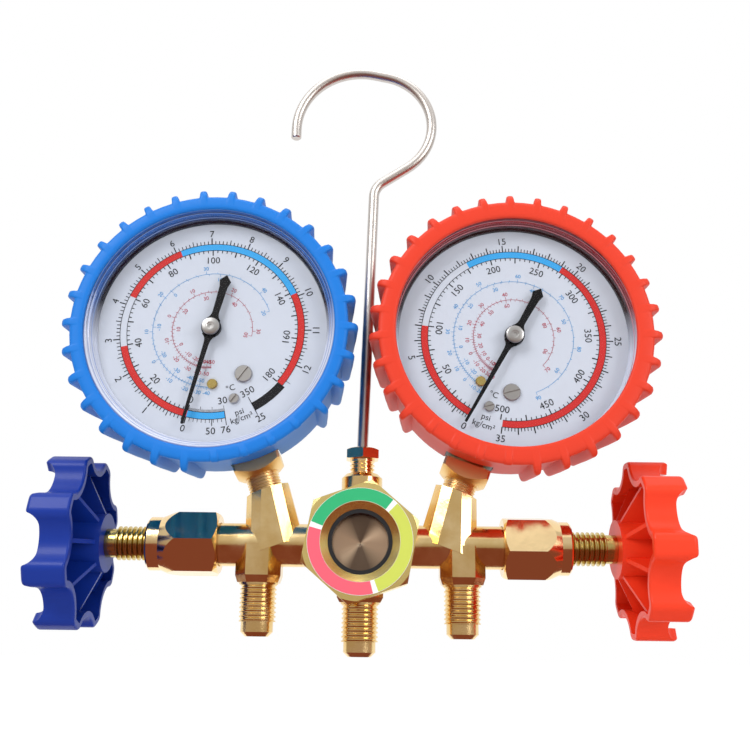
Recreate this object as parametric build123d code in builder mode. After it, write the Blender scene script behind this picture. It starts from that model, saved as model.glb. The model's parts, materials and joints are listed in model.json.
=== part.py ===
from build123d import *
import os
from math import acos, cos, degrees, hypot, pi, radians, sin

# Refrigerant manifold gauge, in millimetres, +Z up, seen from the front along +Y.
# The origin is the bearing point inside the top of the hook's loop.
# "Out" is a distance from the centre along the manifold tube, on either side.
# "Forward" is a distance from the tube's axis towards the viewer.

# General fits
SIDES = {"low": -1, "high": 1}
fit_gap = 0.05
loose_gap = 0.1
seat_gap = 0.3
chamfer_slope = 0.6
thread_land = 0.22
thread_flank = 0.28

# Hook: a wire bent in one plane
wire_r = 1.75
hook_tip_len = 3.6
hook_loop_r = 22.6
hook_crown_turn = 12
hook_crown_len = 4.5
hook_side_r = 20.0
hook_side_turn = 134
hook_run_len = 10.0
hook_bend_r = 6.5
shaft_lean = 1.6
shaft_len = 86.0
shaft_ease_r = 60
hook_end_chamfer = 0.35
hook_head_r = 3.0
hook_head_len = 1.6
hook_head_bottom = 14.2
hook_head_chamfer = 0.4

# Gland nut that the hook turns in
gland_flat_r = 5.0
gland_head_len = 3.3
gland_neck_len = 4.8
gland_thread_r = 3.9
gland_thread_pitch = 1.25
gland_thread_depth = 0.45
gland_wire_clear = 1.0
gland_turn = 33
gland_cut_low = 0.3
gland_cut_high = 0.9
gland_runout = 0.6

# Manifold tube and centre block
tube_r = 6.6
passage_r = 2.0
block_r = 13.0
block_back = 8.2
block_front = 7.4
block_chamfer = 1.0
boss_r = 6.4
boss_top = 22.3
boss_chamfer = 1.3
gland_hole_bottom = 12.0

# Hose ports with a 7/16 inch thread
port_out = 31.1
port_thread_r = 5.556
port_thread_pitch = 1.27
port_thread_depth = 0.42
port_thread_len = 11.0
port_flange_r = 5.95
port_flange_len = 0.5
port_nose_r = 4.87
port_nose_len = 3.0
port_flare_len = 1.3
port_flare_r = 3.5
port_bore_r = 2.4
side_port_top = 11.5
centre_port_top = 17.0
side_base_half = 6.9
side_base_bottom = 9.4
centre_base_half = 7.0
centre_base_bottom = 15.5
base_end_half = 6.2
corner_share = 0.5

# Valve bonnet: threaded stub, packing nut and packing
seat_out = 19.5
chamber_r = 3.6
stub_r = 6.45
stub_in = 43.2
stub_out = 52.0
stub_pitch = 1.5
stub_depth = 0.5
nut_flat_r = 9.0
nut_in = 43.5
nut_face_r = 8.7
nut_face_chamfer = 1.2
nut_hex_out = 56.0
collar_in = {"low": 61.3, "high": 60.9}
collar_r = 8.2
nut_out = {"low": 65.4, "high": 64.3}
collar_chamfer = 0.6
nut_relief = 0.6
packing_len = 3.4
nut_turn = {"low": 4, "high": 10}

# Valve spindle and pad, drawn two turns from fully open
stem_pitch = 1.5
stem_thread_r = 5.2
stem_thread_depth = 0.85
stem_thread_end = 74.8
stem_thread_in = 57.6
spindle_r = 2.6
nose_r = 1.4
nose_len = 1.8
pad_r = 3.2
pad_len = 3.0
pad_chamfer = 0.4
turns_to_close = 1.0
stem_neck_r = 4.4
stem_neck_ease = 0.4
square_flat_r = 2.9
stem_end = 90.2
screw_r = 1.25
screw_depth = 7.0
screw_head_r = 3.4
screw_head_len = 1.6
screw_head_chamfer = 0.6
screw_slot_w = 0.8
screw_slot_depth = 0.7

# Handwheels
wheel_r = 27.1
wheel_lobes = 8
scallop_r = 8.5
scallop_depth = 4.6
lobe_round = 2.8
wheel_wall = 2.0
wheel_rim = 82.9
wheel_plate_in = 89.3
wheel_plate_out = 91.9
lobe_end = 95.6
lobe_depth = 3.8
lobe_end_round = 1.4
rim_round = 0.7
valley_half = 3.6
ear_foot_r = 3.9
ear_brow_r = 1.4
hub_in = 78.6
hub_r = 9.0
hub_cap_r = 7.5
hub_cap_out = 93.4
rib_w = 1.3
rib_start_drop = 0.6
rib_end_drop = 3.2
rib_bite = 1.0
wheel_turn = {"low": 19, "high": 3}

# Sight glass
hex_flat_r = 16.0
hex_turn = 19.5
hex_back = 7.4
hex_front = 16.4
hex_chamfer = 1.2
sight_stub_r = 10.2
sight_stub_len = 4.8
sight_cone_r = 11.7
sight_bore_r = 9.6
sight_cone_depth = 2.0
sight_seat = 8.6
sight_throat_r = 7.0
indicator_len = 0.8
indicator_dish = 0.35
seal_r_in = 8.4
glass_front = 13.4
glass_len = 3.2
glass_chamfer = 0.25
label_r_in = 11.8
label_r_out = 15.6
label_len = 0.18
sight_passage_r = 2.5

# Gauge placing: the gauges lean outward from the tube
gauge_lean = 19.8
neck_root_out = 23.9
gauge_reach = {"low": 68.6, "high": 67.0}
neck_top = 17.8
neck_base_shift = 3.0
neck_base_half = 9.4
neck_base_depth = 7.2
neck_top_shift = -0.5
neck_top_half = 6.7
neck_top_depth = 6.4
neck_facet_base = 3.7
neck_facet_top = 1.5
neck_corner_base = (6.9, 5.9)
neck_corner_top = (4.8, 5.0)
neck_side_base = 2.6
neck_side_top = 2.2
socket_thread_r = 5.2
socket_hole_depth = 9.0
gauge_passage_r = 1.6

# Gauge socket, in distances below the gauge's centre
square_half = 7.4
square_turn = 45
square_corner_r = 10.0
square_top = 40.3
square_bottom = 43.0
socket_shoulder = 45.8
socket_shoulder_r = 6.2
socket_thread_pitch = 0.94
socket_thread_depth = 0.4
socket_neck_r = 6.0
holder_top = 30.5
holder_half = 7.5
holder_bite = 2.0
ledge_bite = 1.0
holder_front = 9.4
ledge_top = 23.5
ledge_front = 3.8
ledge_back = -2.4

# Gauge case, lens, dial and boot, in radii and forward distances
case_r = 39.4
case_wall = 0.9
case_back = -4.0
case_front = 20.8
case_bend = 1.0
neck_hole_depth = 3.8
lens_rim_front = 22.2
lens_front = 22.9
lens_t = 1.6
lens_window_r = 36.9
lens_skirt_t = 1.0
lens_bevel = 0.5
dial_front = 16.6
dial_t = 0.5
dial_hole_r = 2.2
boot_lip_r = 38.0
boot_front = 23.6
boot_back = -6.0
boot_face_r = 41.6
boot_front_r = 42.6
boot_back_r = 41.2
boot_shoulder = 22.4
boot_back_hole_r = 31.0
boot_hole_gap = 0.2
boot_lip_chamfer = 0.6
boot_back_bevel = 2.0
lug_count = {"low": 30, "high": 31}
lug_w = 2.4
lug_foot_r = 40.4
lug_front = 23.0
lug_nose_r = 44.6
lug_tip_r = 45.5
lug_tip_front = 21.6
lug_tip_back_r = 43.6
lug_nose_drop = 0.5
lug_back_gap = 1.5
lug_root_r = 39.4
lug_root_gap = 1.0
lug_phase = {"low": -0.2, "high": -2.0}
short_lug_window = 24
short_lug_r = 43.0
short_lug_back = 17.5

# Pointer: angle of the zero mark, seen from the front and counted from +X
zero_angle = {"low": 257.0, "high": 240.6}
pointer_len = 31.5
pointer_tail = 17.8
pointer_tail_mid = 14.2
pointer_tail_half = 1.7
pointer_root_half = 1.25
pointer_tip_half = 0.75
pointer_point_len = 2.4
pointer_front = 18.9
pointer_t = 0.4
pointer_boss_r = 2.9
pointer_boss_gap = 1.2
pointer_boss_front = 19.4
hub_front = 20.5
hub_dome_r = 2.4
hub_chamfer = 0.6
hub_cap = 0.4

# Movement: plates, pillars and gears
tooth_module = 0.3
pinion_teeth = 12
sector_teeth = 96
tooth_half = 0.19
addendum = 0.24
dedendum = 0.42
pinion_root_half = 0.15
sector_root_half = 0.25
arbor_r = 0.7
arbor_tail = 0.6
pinion_back = 8.8
pinion_front = 11.0
sector_back = 9.4
sector_t = 1.0
sector_first = -2
sector_last = 12
sector_arbor_r = 0.8
sector_hub_r = 2.4
sector_web_half = 1.5
sector_rim_t = 2.2
sector_web_bite = 1.0
tail_down = 4.2
tail_left = 1.6
tail_half = 1.5
tail_pin_r = 0.6
plate_t = 1.2
plate_half = 12.0
plate_top = 9.0
back_plate_front = 5.0
front_plate_back = 13.2
front_plate_bottom = 26.5
back_plate_bottom = 28.9
pillar_r = 1.3
upper_pillar = (8.8, 6.0)
lower_pillar = (9.8, -13.5)
frame_screw_half = 5.2
frame_screw_down = 26.6
frame_screw_r = 1.2
frame_screw_head_r = 2.2
frame_screw_head_len = 1.4
frame_screw_len = 5.0
dial_fixing_half = 5.0
dial_fixing_down = 17.0
dial_screw_down = 23.6
dial_post_r = 1.7
dial_screw_hole_r = 1.0
fixing_shank_r = 0.9
fixing_shank_len = 1.2
small_screw_head_r = 1.6
adjuster_r = 2.7
fixing_head_len = 0.9
fixing_chamfer = 0.25
fixing_slot_turn = 35
fixing_slot_w = 0.6
fixing_slot_depth = 0.4
spring_r_in = 1.5
spring_r_out = 4.6
spring_turns = 4
spring_t = 0.14
spring_back = 11.9
spring_w = 0.5
spring_stud_r = 0.45
collet_front = 12.7

# Bourdon tube and link
bourdon_r = 33.4
bourdon_half_t = 1.4
bourdon_half_w = 3.4
bourdon_mid = 5.0
bourdon_wall = 0.35
bourdon_start = 12.5
bourdon_sweep = 283
tip_len = 4.0
tip_cover = 0.5
lug_arm_len = 7.0
lug_arm_half = 1.3
lug_arm_back = 6.4
lug_arm_front = 7.6
link_back = 7.9
link_t = 0.9
link_half = 1.0
link_eye_r = 1.5

os.makedirs("parts", exist_ok=True)


# Shared ways of drawing


def save(piece, label):
    """Name a finished piece and write it."""
    piece.part.label = label
    export_step(piece.part, f"parts/{label}.step")


def turn(base, points, mode=Mode.ADD):
    """Turn a closed outline of (radius, height) points about a plane's normal."""
    side_view = Plane(origin=base.origin, x_dir=base.x_dir, z_dir=-base.y_dir)
    with BuildSketch(side_view) as outline:
        with BuildLine():
            Polyline(*points, close=True)
        make_face()
    revolve(outline.sketch, axis=Axis(base.origin, base.z_dir), mode=mode)


def rod(base, radius, height, mode=Mode.ADD):
    """Raise a round bar or drill a round hole from a plane."""
    with BuildSketch(base) as disc:
        Circle(radius)
    extrude(disc.sketch, amount=height, mode=mode)


def prism(base, flat_r, height, sides=6, rotation=0.0, mode=Mode.ADD):
    """Raise a regular prism, sized across its flats, from a plane."""
    with BuildSketch(base) as outline:
        RegularPolygon(flat_r, sides, major_radius=False, rotation=rotation)
    extrude(outline.sketch, amount=height, mode=mode)


def slab(base, points, height, mode=Mode.ADD):
    """Raise a closed outline of points from a plane."""
    with BuildSketch(base) as outline:
        with BuildLine():
            Polyline(*points, close=True)
        make_face()
    extrude(outline.sketch, amount=height, mode=mode)


def rings(crest_r, depth, pitch, start, end):
    """Outline points of a thread drawn as rings, with a crest at both ends."""
    land = pitch * thread_land
    flank = pitch * thread_flank
    count = max(1, round((end - start - land) / pitch))
    step = (end - start - land) / count
    points = []
    for ring in range(count):
        foot = start + ring * step
        points += [(crest_r, foot), (crest_r, foot + land)]
        points += [(crest_r - depth, foot + land + flank), (crest_r - depth, foot + step - flank)]
    points += [(crest_r, end - land), (crest_r, end)]
    return points


def cut_box(half_x, half_y, facet_x, facet_y, corners=(), shift=0.0):
    """Corner points of a box outline with its four corners cut off, through extra corner points."""
    front_quarter = [(facet_x, -half_y)] + [(x, -y) for x, y in corners] + [(half_x, -facet_y)]
    half = front_quarter + [(x, -y) for x, y in reversed(front_quarter)]
    return [(shift + x, y) for x, y in half] + [(shift - x, -y) for x, y in half]


def taper(lower, lower_points, upper, upper_points):
    """Join two closed outlines on two planes by flat faces."""
    with BuildSketch(lower) as foot:
        with BuildLine():
            Polyline(*lower_points, close=True)
        make_face()
    with BuildSketch(upper) as head:
        with BuildLine():
            Polyline(*upper_points, close=True)
        make_face()
    loft([foot.sketch.face(), head.sketch.face()], ruled=True)


def chamfered_hex_points(flat_r, low, high, low_cut, high_cut):
    """Outline that cuts the corners of a hexagon between two heights."""
    corner_r = flat_r / cos(pi / 6)
    points = [(0, low), (corner_r - low_cut, low), (corner_r, low + low_cut * chamfer_slope)]
    return points + [(corner_r, high - high_cut * chamfer_slope), (corner_r - high_cut, high), (0, high)]


# Hook path, from its open tip to its foot in the manifold

with BuildLine(Plane.XZ) as hook_path:
    tip = Line((-hook_loop_r, wire_r - hook_loop_r - hook_tip_len), (-hook_loop_r, wire_r - hook_loop_r))
    loop = JernArc(tip @ 1, tip % 1, hook_loop_r, -(90 + hook_crown_turn))
    crown = Line(loop @ 1, loop @ 1 + (loop % 1) * hook_crown_len)
    far_side = JernArc(crown @ 1, crown % 1, hook_side_r, -hook_side_turn)
    run = Line(far_side @ 1, far_side @ 1 + (far_side % 1) * hook_run_len)
    bend_turn = hook_crown_turn + hook_side_turn - 90 - shaft_lean
    bend = JernArc(run @ 1, run % 1, hook_bend_r, bend_turn)
    shaft = Line(bend @ 1, bend @ 1 + (bend % 1) * shaft_len)
    ease = JernArc(shaft @ 1, shaft % 1, shaft_ease_r, shaft_lean)
    gland_head_bottom = boss_top + gland_neck_len
    gland_head_top = gland_head_bottom + gland_head_len
    foot_len = gland_head_top + gland_wire_clear - hook_head_bottom
    foot = Line(ease @ 1, ease @ 1 + Vector(0, 0, -foot_len))

hook_foot = foot @ 1
centre_x = hook_foot.X
axis_z = hook_foot.Z - hook_head_bottom
lean = radians(gauge_lean)


# Datum planes


def level(height):
    """Level plane above the tube's axis, facing up, at the centre port."""
    return Plane(origin=(centre_x, 0, axis_z + height), x_dir=(1, 0, 0), z_dir=(0, 0, 1))


def port_plane(out, drop=0.0):
    """Level plane facing down, at a distance along the tube."""
    return Plane(origin=(centre_x + out, 0, axis_z - drop), x_dir=(1, 0, 0), z_dir=(0, 0, -1))


def station(side, out=0.0):
    """Plane across the tube, facing outward on one side."""
    return Plane(origin=(centre_x + side * out, 0, axis_z), x_dir=(0, 1, 0), z_dir=(side, 0, 0))


def front(forward=0.0):
    """Plane facing the viewer, centred on the tube's middle."""
    return Plane(origin=(centre_x, -forward, axis_z), x_dir=(1, 0, 0), z_dir=(0, -1, 0))


def neck_plane(side, along=0.0):
    """Plane across a gauge neck, facing the gauge, at a distance from the tube's axis."""
    out = neck_root_out + along * sin(lean)
    origin = (centre_x + side * out, 0, axis_z + along * cos(lean))
    along_neck = (side * sin(lean), 0, cos(lean))
    return Plane(origin=origin, x_dir=(cos(lean), 0, -side * sin(lean)), z_dir=along_neck)


def gauge_plane(side, forward=0.0, turned=0.0):
    """Plane facing the viewer, centred on a gauge, with its own up along the neck."""
    reach = gauge_reach["low" if side < 0 else "high"]
    out = neck_root_out + reach * sin(lean)
    origin = (centre_x + side * out, -forward, axis_z + reach * cos(lean))
    angle = -side * lean + radians(turned)
    return Plane(origin=origin, x_dir=(cos(angle), 0, sin(angle)), z_dir=(0, -1, 0))


def shifted(plane, across, up):
    """The same plane with its origin moved within itself."""
    origin = plane.origin + plane.x_dir * across + plane.y_dir * up
    return Plane(origin=origin, x_dir=plane.x_dir, z_dir=plane.z_dir)


# Hook and its gland nut

with BuildPart() as hook_rod:
    with BuildSketch(Plane(origin=tip @ 0, z_dir=tip % 0)):
        Circle(wire_r)
    sweep(path=hook_path.wire())
    tip_edge = hook_rod.edges().filter_by(GeomType.CIRCLE).sort_by_distance(tip @ 0)[0]
    chamfer(tip_edge, hook_end_chamfer)
    head_points = [(0, hook_head_bottom), (hook_head_r, hook_head_bottom)]
    hook_head_top = hook_head_bottom + hook_head_len
    head_points += [(hook_head_r, hook_head_top - hook_head_chamfer)]
    head_points += [(hook_head_r - hook_head_chamfer, hook_head_top), (0, hook_head_top)]
    turn(level(0), head_points)
save(hook_rod, "hook_rod")

gland_bottom = hook_head_top + seat_gap
with BuildPart() as hook_gland_nut:
    prism(level(gland_head_bottom), gland_flat_r, gland_head_len, rotation=gland_turn)
    cuts = (gland_cut_low, gland_cut_high)
    gland_points = chamfered_hex_points(gland_flat_r, gland_head_bottom, gland_head_top, *cuts)
    turn(level(0), gland_points, Mode.INTERSECT)
    thread_top = gland_head_bottom - gland_runout
    thread = rings(gland_thread_r, gland_thread_depth, gland_thread_pitch, gland_bottom, thread_top)
    turn(level(0), [(0, gland_bottom), *thread, (gland_thread_r, gland_head_bottom), (0, gland_head_bottom)])
    rod(level(gland_bottom), wire_r + loose_gap, gland_head_top - gland_bottom, Mode.SUBTRACT)
save(hook_gland_nut, "hook_gland_nut")

# Manifold body

pad_face = seat_out + fit_gap + turns_to_close * stem_pitch
sight_floor = hex_back - sight_stub_len - loose_gap


def hose_port(out, base_half, base_bottom, thread_top):
    """Square base with cut corners, thread rings, nose and flare of one hose port."""
    facet = base_half * corner_share
    wide = cut_box(base_half, base_half, facet, facet)
    end_facet = base_end_half * corner_share
    narrow = cut_box(base_end_half, base_end_half, end_facet, end_facet)
    slab(port_plane(out), wide, base_bottom)
    taper(port_plane(out, base_bottom), wide, port_plane(out, thread_top), narrow)
    thread_start = thread_top + port_flange_len
    thread_end = thread_start + port_thread_len
    nose_end = thread_end + port_nose_len
    points = [(0, thread_top), (port_flange_r, thread_top), (port_flange_r, thread_start)]
    points += rings(port_thread_r, port_thread_depth, port_thread_pitch, thread_start, thread_end)
    points += [(port_nose_r, thread_end), (port_nose_r, nose_end)]
    points += [(port_flare_r, nose_end + port_flare_len), (0, nose_end + port_flare_len)]
    turn(port_plane(out), points)


with BuildPart() as manifold_body:
    for side in SIDES.values():
        thread = rings(stub_r, stub_depth, stub_pitch, stub_in, stub_out)
        turn(station(side), [(0, 0), (tube_r, 0), (tube_r, stub_in), *thread, (0, stub_out)])
        foot_sizes = (neck_base_half, neck_base_depth, neck_facet_base, neck_side_base)
        neck_foot = cut_box(*foot_sizes, [neck_corner_base], side * neck_base_shift)
        head_sizes = (neck_top_half, neck_top_depth, neck_facet_top, neck_side_top)
        neck_head = cut_box(*head_sizes, [neck_corner_top], side * neck_top_shift)
        taper(neck_plane(side), neck_foot, neck_plane(side, neck_top), neck_head)
        hose_port(side * port_out, side_base_half, side_base_bottom, side_port_top)
    hose_port(0, centre_base_half, centre_base_bottom, centre_port_top)
    block_points = [(0, -block_back), (block_r - block_chamfer, -block_back)]
    block_points += [(block_r, block_chamfer - block_back), (block_r, block_front), (0, block_front)]
    turn(front(), block_points)
    boss_points = [(0, 0), (boss_r, 0), (boss_r, boss_top - boss_chamfer)]
    turn(level(0), boss_points + [(boss_r - boss_chamfer, boss_top), (0, boss_top)])
    # Passages
    rod(level(gland_hole_bottom), gland_thread_r + fit_gap, boss_top - gland_hole_bottom, Mode.SUBTRACT)
    rod(front(sight_floor), sight_stub_r + fit_gap, block_front - sight_floor, Mode.SUBTRACT)
    rod(front(0), sight_passage_r, sight_floor, Mode.SUBTRACT)
    port_len = port_flange_len + port_thread_len + port_nose_len + port_flare_len
    rod(port_plane(0), port_bore_r, centre_port_top + port_len, Mode.SUBTRACT)
    for side in SIDES.values():
        rod(station(side), passage_r, seat_out, Mode.SUBTRACT)
        rod(station(side, seat_out), chamber_r, stub_out - seat_out, Mode.SUBTRACT)
        rod(port_plane(side * port_out), port_bore_r, side_port_top + port_len, Mode.SUBTRACT)
        rod(neck_plane(side), gauge_passage_r, neck_top, Mode.SUBTRACT)
        hole_bottom = neck_plane(side, neck_top - socket_hole_depth)
        rod(hole_bottom, socket_thread_r + fit_gap, socket_hole_depth, Mode.SUBTRACT)
save(manifold_body, "manifold_body")

# Sight glass

with BuildPart() as sight_glass_housing:
    prism(front(hex_back), hex_flat_r, hex_front - hex_back, rotation=hex_turn)
    hex_points = chamfered_hex_points(hex_flat_r, hex_back, hex_front, hex_chamfer, hex_chamfer)
    turn(front(), hex_points, Mode.INTERSECT)
    stub_back = hex_back - sight_stub_len
    rod(front(stub_back), sight_stub_r, sight_stub_len)
    rod(front(stub_back), sight_throat_r, hex_front - stub_back, Mode.SUBTRACT)
    cone_floor = hex_front - sight_cone_depth
    bore_points = [(0, sight_seat), (sight_bore_r, sight_seat), (sight_bore_r, cone_floor)]
    turn(front(), bore_points + [(sight_cone_r, hex_front), (0, hex_front)], Mode.SUBTRACT)
save(sight_glass_housing, "sight_glass_housing")

with BuildPart() as sight_glass_label:
    with BuildSketch(front(hex_front)):
        Circle(label_r_out)
        Circle(label_r_in, mode=Mode.SUBTRACT)
    extrude(amount=label_len)
save(sight_glass_label, "sight_glass_label")

insert_r = sight_bore_r - fit_gap
disc_front = sight_seat + indicator_len
with BuildPart() as sight_glass_indicator:
    disc_points = [(0, sight_seat), (insert_r, sight_seat), (insert_r, disc_front), (seal_r_in, disc_front)]
    turn(front(), disc_points + [(0, disc_front - indicator_dish)])
save(sight_glass_indicator, "sight_glass_indicator")

with BuildPart() as sight_glass_seal:
    with BuildSketch(front(disc_front)):
        Circle(insert_r)
        Circle(seal_r_in, mode=Mode.SUBTRACT)
    extrude(amount=cone_floor - disc_front - fit_gap)
save(sight_glass_seal, "sight_glass_seal")

with BuildPart() as sight_glass_lens:
    rod(front(glass_front - glass_len), seal_r_in - fit_gap, glass_len)
    chamfer(sight_glass_lens.edges().filter_by(GeomType.CIRCLE), glass_chamfer)
save(sight_glass_lens, "sight_glass_lens")

# Valves


def lobed_outline(base, inset, turned, corner_round):
    """Outline of a handwheel, or of its hollow, with a scallop between lobes."""
    scallop_at = wheel_r - scallop_depth + scallop_r
    with BuildSketch(base) as outline:
        Circle(wheel_r - inset)
        with PolarLocations(scallop_at, wheel_lobes, start_angle=180 / wheel_lobes + turned):
            Circle(scallop_r + inset, mode=Mode.SUBTRACT)
        if corner_round > 0:
            fillet(outline.vertices(), corner_round)
    return outline.sketch


for name, side in SIDES.items():
    packing_out = stub_out + packing_len + 2 * fit_gap

    with BuildPart() as packing_nut:
        nut_end = nut_out[name]
        prism(station(side, nut_in), nut_flat_r, nut_end - nut_in, rotation=nut_turn[name])
        corner_r = nut_flat_r / cos(pi / 6)
        nut_points = [(0, nut_in), (nut_face_r, nut_in), (corner_r, nut_in + nut_face_chamfer)]
        nut_points += [(corner_r, nut_hex_out), (collar_r, collar_in[name])]
        nut_points += [(collar_r, nut_end - collar_chamfer)]
        nut_points += [(collar_r - collar_chamfer, nut_end), (0, nut_end)]
        turn(station(side), nut_points, Mode.INTERSECT)
        rod(station(side, nut_in), stub_r + fit_gap, packing_out - nut_in, Mode.SUBTRACT)
        rod(station(side, nut_in), tube_r + loose_gap, nut_relief, Mode.SUBTRACT)
        rod(station(side, packing_out), stem_thread_r + fit_gap, nut_end - packing_out, Mode.SUBTRACT)
    save(packing_nut, f"{name}_packing_nut")

    with BuildPart() as stem_packing:
        with BuildSketch(station(side, stub_out + fit_gap)):
            Circle(stub_r - fit_gap)
            Circle(spindle_r + fit_gap, mode=Mode.SUBTRACT)
        extrude(amount=packing_len)
    save(stem_packing, f"{name}_stem_packing")

    with BuildPart() as seat_pad:
        rod(station(side, pad_face), pad_r, pad_len)
        chamfer(seat_pad.faces().sort_by(Axis.X)[0 if side > 0 else -1].edges(), pad_chamfer)
        nose_hole_len = nose_len + fit_gap
        nose_hole = station(side, pad_face + pad_len - nose_hole_len)
        rod(nose_hole, nose_r + fit_gap, nose_hole_len, Mode.SUBTRACT)
    save(seat_pad, f"{name}_seat_pad")

    spindle_in = pad_face + pad_len + fit_gap
    with BuildPart() as valve_stem:
        stem_points = [(0, spindle_in - nose_len), (nose_r, spindle_in - nose_len), (nose_r, spindle_in)]
        stem_points += [(spindle_r, spindle_in), (spindle_r, stem_thread_in)]
        stem_points += rings(stem_thread_r, stem_thread_depth, stem_pitch, stem_thread_in, stem_thread_end)
        stem_shoulder = hub_in - fit_gap
        stem_points += [(stem_neck_r, stem_thread_end + stem_neck_ease), (stem_neck_r, stem_shoulder)]
        turn(station(side), stem_points + [(0, stem_shoulder)])
        prism(station(side, stem_shoulder), square_flat_r, stem_end - stem_shoulder, sides=4)
        rod(station(side, stem_end - screw_depth), screw_r + fit_gap, screw_depth, Mode.SUBTRACT)
    save(valve_stem, f"{name}_valve_stem")

    screw_seat = stem_end + seat_gap
    with BuildPart() as handwheel_screw:
        screw_points = [(0, stem_end - screw_depth + seat_gap), (screw_r, stem_end - screw_depth + seat_gap)]
        screw_top = screw_seat + screw_head_len
        screw_points += [(screw_r, screw_seat), (screw_head_r, screw_seat)]
        screw_points += [(screw_head_r, screw_top - screw_head_chamfer)]
        screw_points += [(screw_head_r - screw_head_chamfer, screw_top), (0, screw_top)]
        turn(station(side), screw_points)
        with BuildSketch(station(side, screw_top)):
            Rectangle(2 * screw_head_r, screw_slot_w)
        extrude(amount=-screw_slot_depth, mode=Mode.SUBTRACT)
    save(handwheel_screw, f"{name}_handwheel_screw")

    lobed = lobed_outline(station(side, wheel_rim), 0, wheel_turn[name], lobe_round)
    hollow = lobed_outline(station(side, wheel_rim), wheel_wall, wheel_turn[name], lobe_round - wheel_wall)
    with BuildPart() as handwheel:
        extrude(lobed, amount=lobe_end - wheel_rim)
        ends = handwheel.faces().sort_by(Axis.X)
        inner_end, outer_end = (ends[0], ends[-1]) if side > 0 else (ends[-1], ends[0])
        rim_edges = inner_end.edges()
        fillet(outer_end.edges(), lobe_end_round)
        fillet(rim_edges, rim_round)
        rod(station(side, wheel_plate_out), wheel_r - lobe_depth, lobe_end - wheel_plate_out, Mode.SUBTRACT)
        extrude(hollow, amount=wheel_plate_in - wheel_rim, mode=Mode.SUBTRACT)
        # Valleys that leave a narrow ear on each lobe
        ear_height = lobe_end - wheel_plate_out
        ear_slope = degrees(acos(1 - ear_height / (ear_foot_r + ear_brow_r)))
        for valley in range(wheel_lobes):
            angle = radians(360 / wheel_lobes * (valley + 0.5) + wheel_turn[name])
            across = station(side, wheel_plate_out)
            radial = across.x_dir * cos(angle) + across.y_dir * sin(angle)
            cut_plane = Plane(origin=across.origin + radial * hub_cap_r, x_dir=across.z_dir, z_dir=radial)
            with BuildSketch(cut_plane) as valley_side:
                with BuildLine():
                    floor = Line((0, 0), (0, valley_half))
                    ear_foot = JernArc(floor @ 1, floor % 1, ear_foot_r, -ear_slope)
                    ear_brow = JernArc(ear_foot @ 1, ear_foot % 1, ear_brow_r, ear_slope)
                    ear_side = (ear_brow @ 1).Y
                    top = ear_height + lobe_end_round
                    Polyline(ear_brow @ 1, (top, ear_side), (top, 0), (0, 0))
                make_face()
                mirror(about=Plane.XZ)
            extrude(valley_side.sketch, amount=wheel_r, mode=Mode.SUBTRACT)
        rod(station(side, hub_in), hub_r, wheel_plate_in - hub_in)
        rod(station(side, wheel_plate_out), hub_cap_r, hub_cap_out - wheel_plate_out)
        rib_reach = wheel_r - scallop_depth - wheel_wall / 2
        rib_root = hub_r - rib_bite
        rib_points = [(rib_root, hub_in + rib_start_drop), (rib_reach, wheel_rim + rib_end_drop)]
        rib_points += [(rib_reach, wheel_plate_in), (rib_root, wheel_plate_in)]
        for rib in range(wheel_lobes):
            angle = radians(360 / wheel_lobes * (rib + 0.5) + wheel_turn[name])
            across = station(side)
            radial = across.x_dir * cos(angle) + across.y_dir * sin(angle)
            rib_plane = Plane(origin=across.origin, x_dir=radial, z_dir=radial.cross(across.z_dir))
            slab(rib_plane.offset(-rib_w / 2), rib_points, rib_w)
        square_len = screw_seat - hub_in
        prism(station(side, hub_in), square_flat_r + fit_gap, square_len, sides=4, mode=Mode.SUBTRACT)
        rod(station(side, screw_seat), screw_head_r + loose_gap, hub_cap_out - screw_seat, Mode.SUBTRACT)
    save(handwheel, f"{name}_handwheel")

# Gauges

pinion_pitch_r = tooth_module * pinion_teeth / 2
sector_pitch_r = tooth_module * sector_teeth / 2
gear_centres = pinion_pitch_r + sector_pitch_r
case_inner_r = case_r - case_wall
dial_back = dial_front - dial_t
front_plate_front = front_plate_back + plate_t
back_plate_back = back_plate_front - plate_t

# Dial fixings: across the dial, up from its centre, and the head's radius
fixings = {
    "dial_rivet": (-dial_fixing_half, -dial_fixing_down, small_screw_head_r),
    "dial_screw": (0, -dial_screw_down, small_screw_head_r),
    "adjuster": (dial_fixing_half, -dial_fixing_down, adjuster_r),
}


def teeth(pitch_r, count, first, last, phase, root_half):
    """Outline points of gear teeth on the origin, with thinned straight flanks."""
    points = []
    for tooth in range(first, last):
        middle = radians(phase) + 2 * pi * tooth / count
        flanks = [(pitch_r - dedendum, -root_half), (pitch_r, -tooth_half)]
        flanks += [(pitch_r + addendum, -tooth_half / 2)]
        flanks += [(radius, -half) for radius, half in reversed(flanks)]
        for radius, half in flanks:
            angle = middle + half / radius
            points.append((radius * cos(angle), radius * sin(angle)))
    return points


def flat_backed_bar(base, radius, back, length, mode=Mode.ADD):
    """Raise a round bar with a flat along its back from a plane across the neck."""
    with BuildSketch(base) as outline:
        Circle(radius)
        with Locations((0, back)):
            Rectangle(2 * radius, 2 * radius, align=(Align.CENTER, Align.MIN), mode=Mode.INTERSECT)
    extrude(outline.sketch, amount=length, mode=mode)


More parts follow.
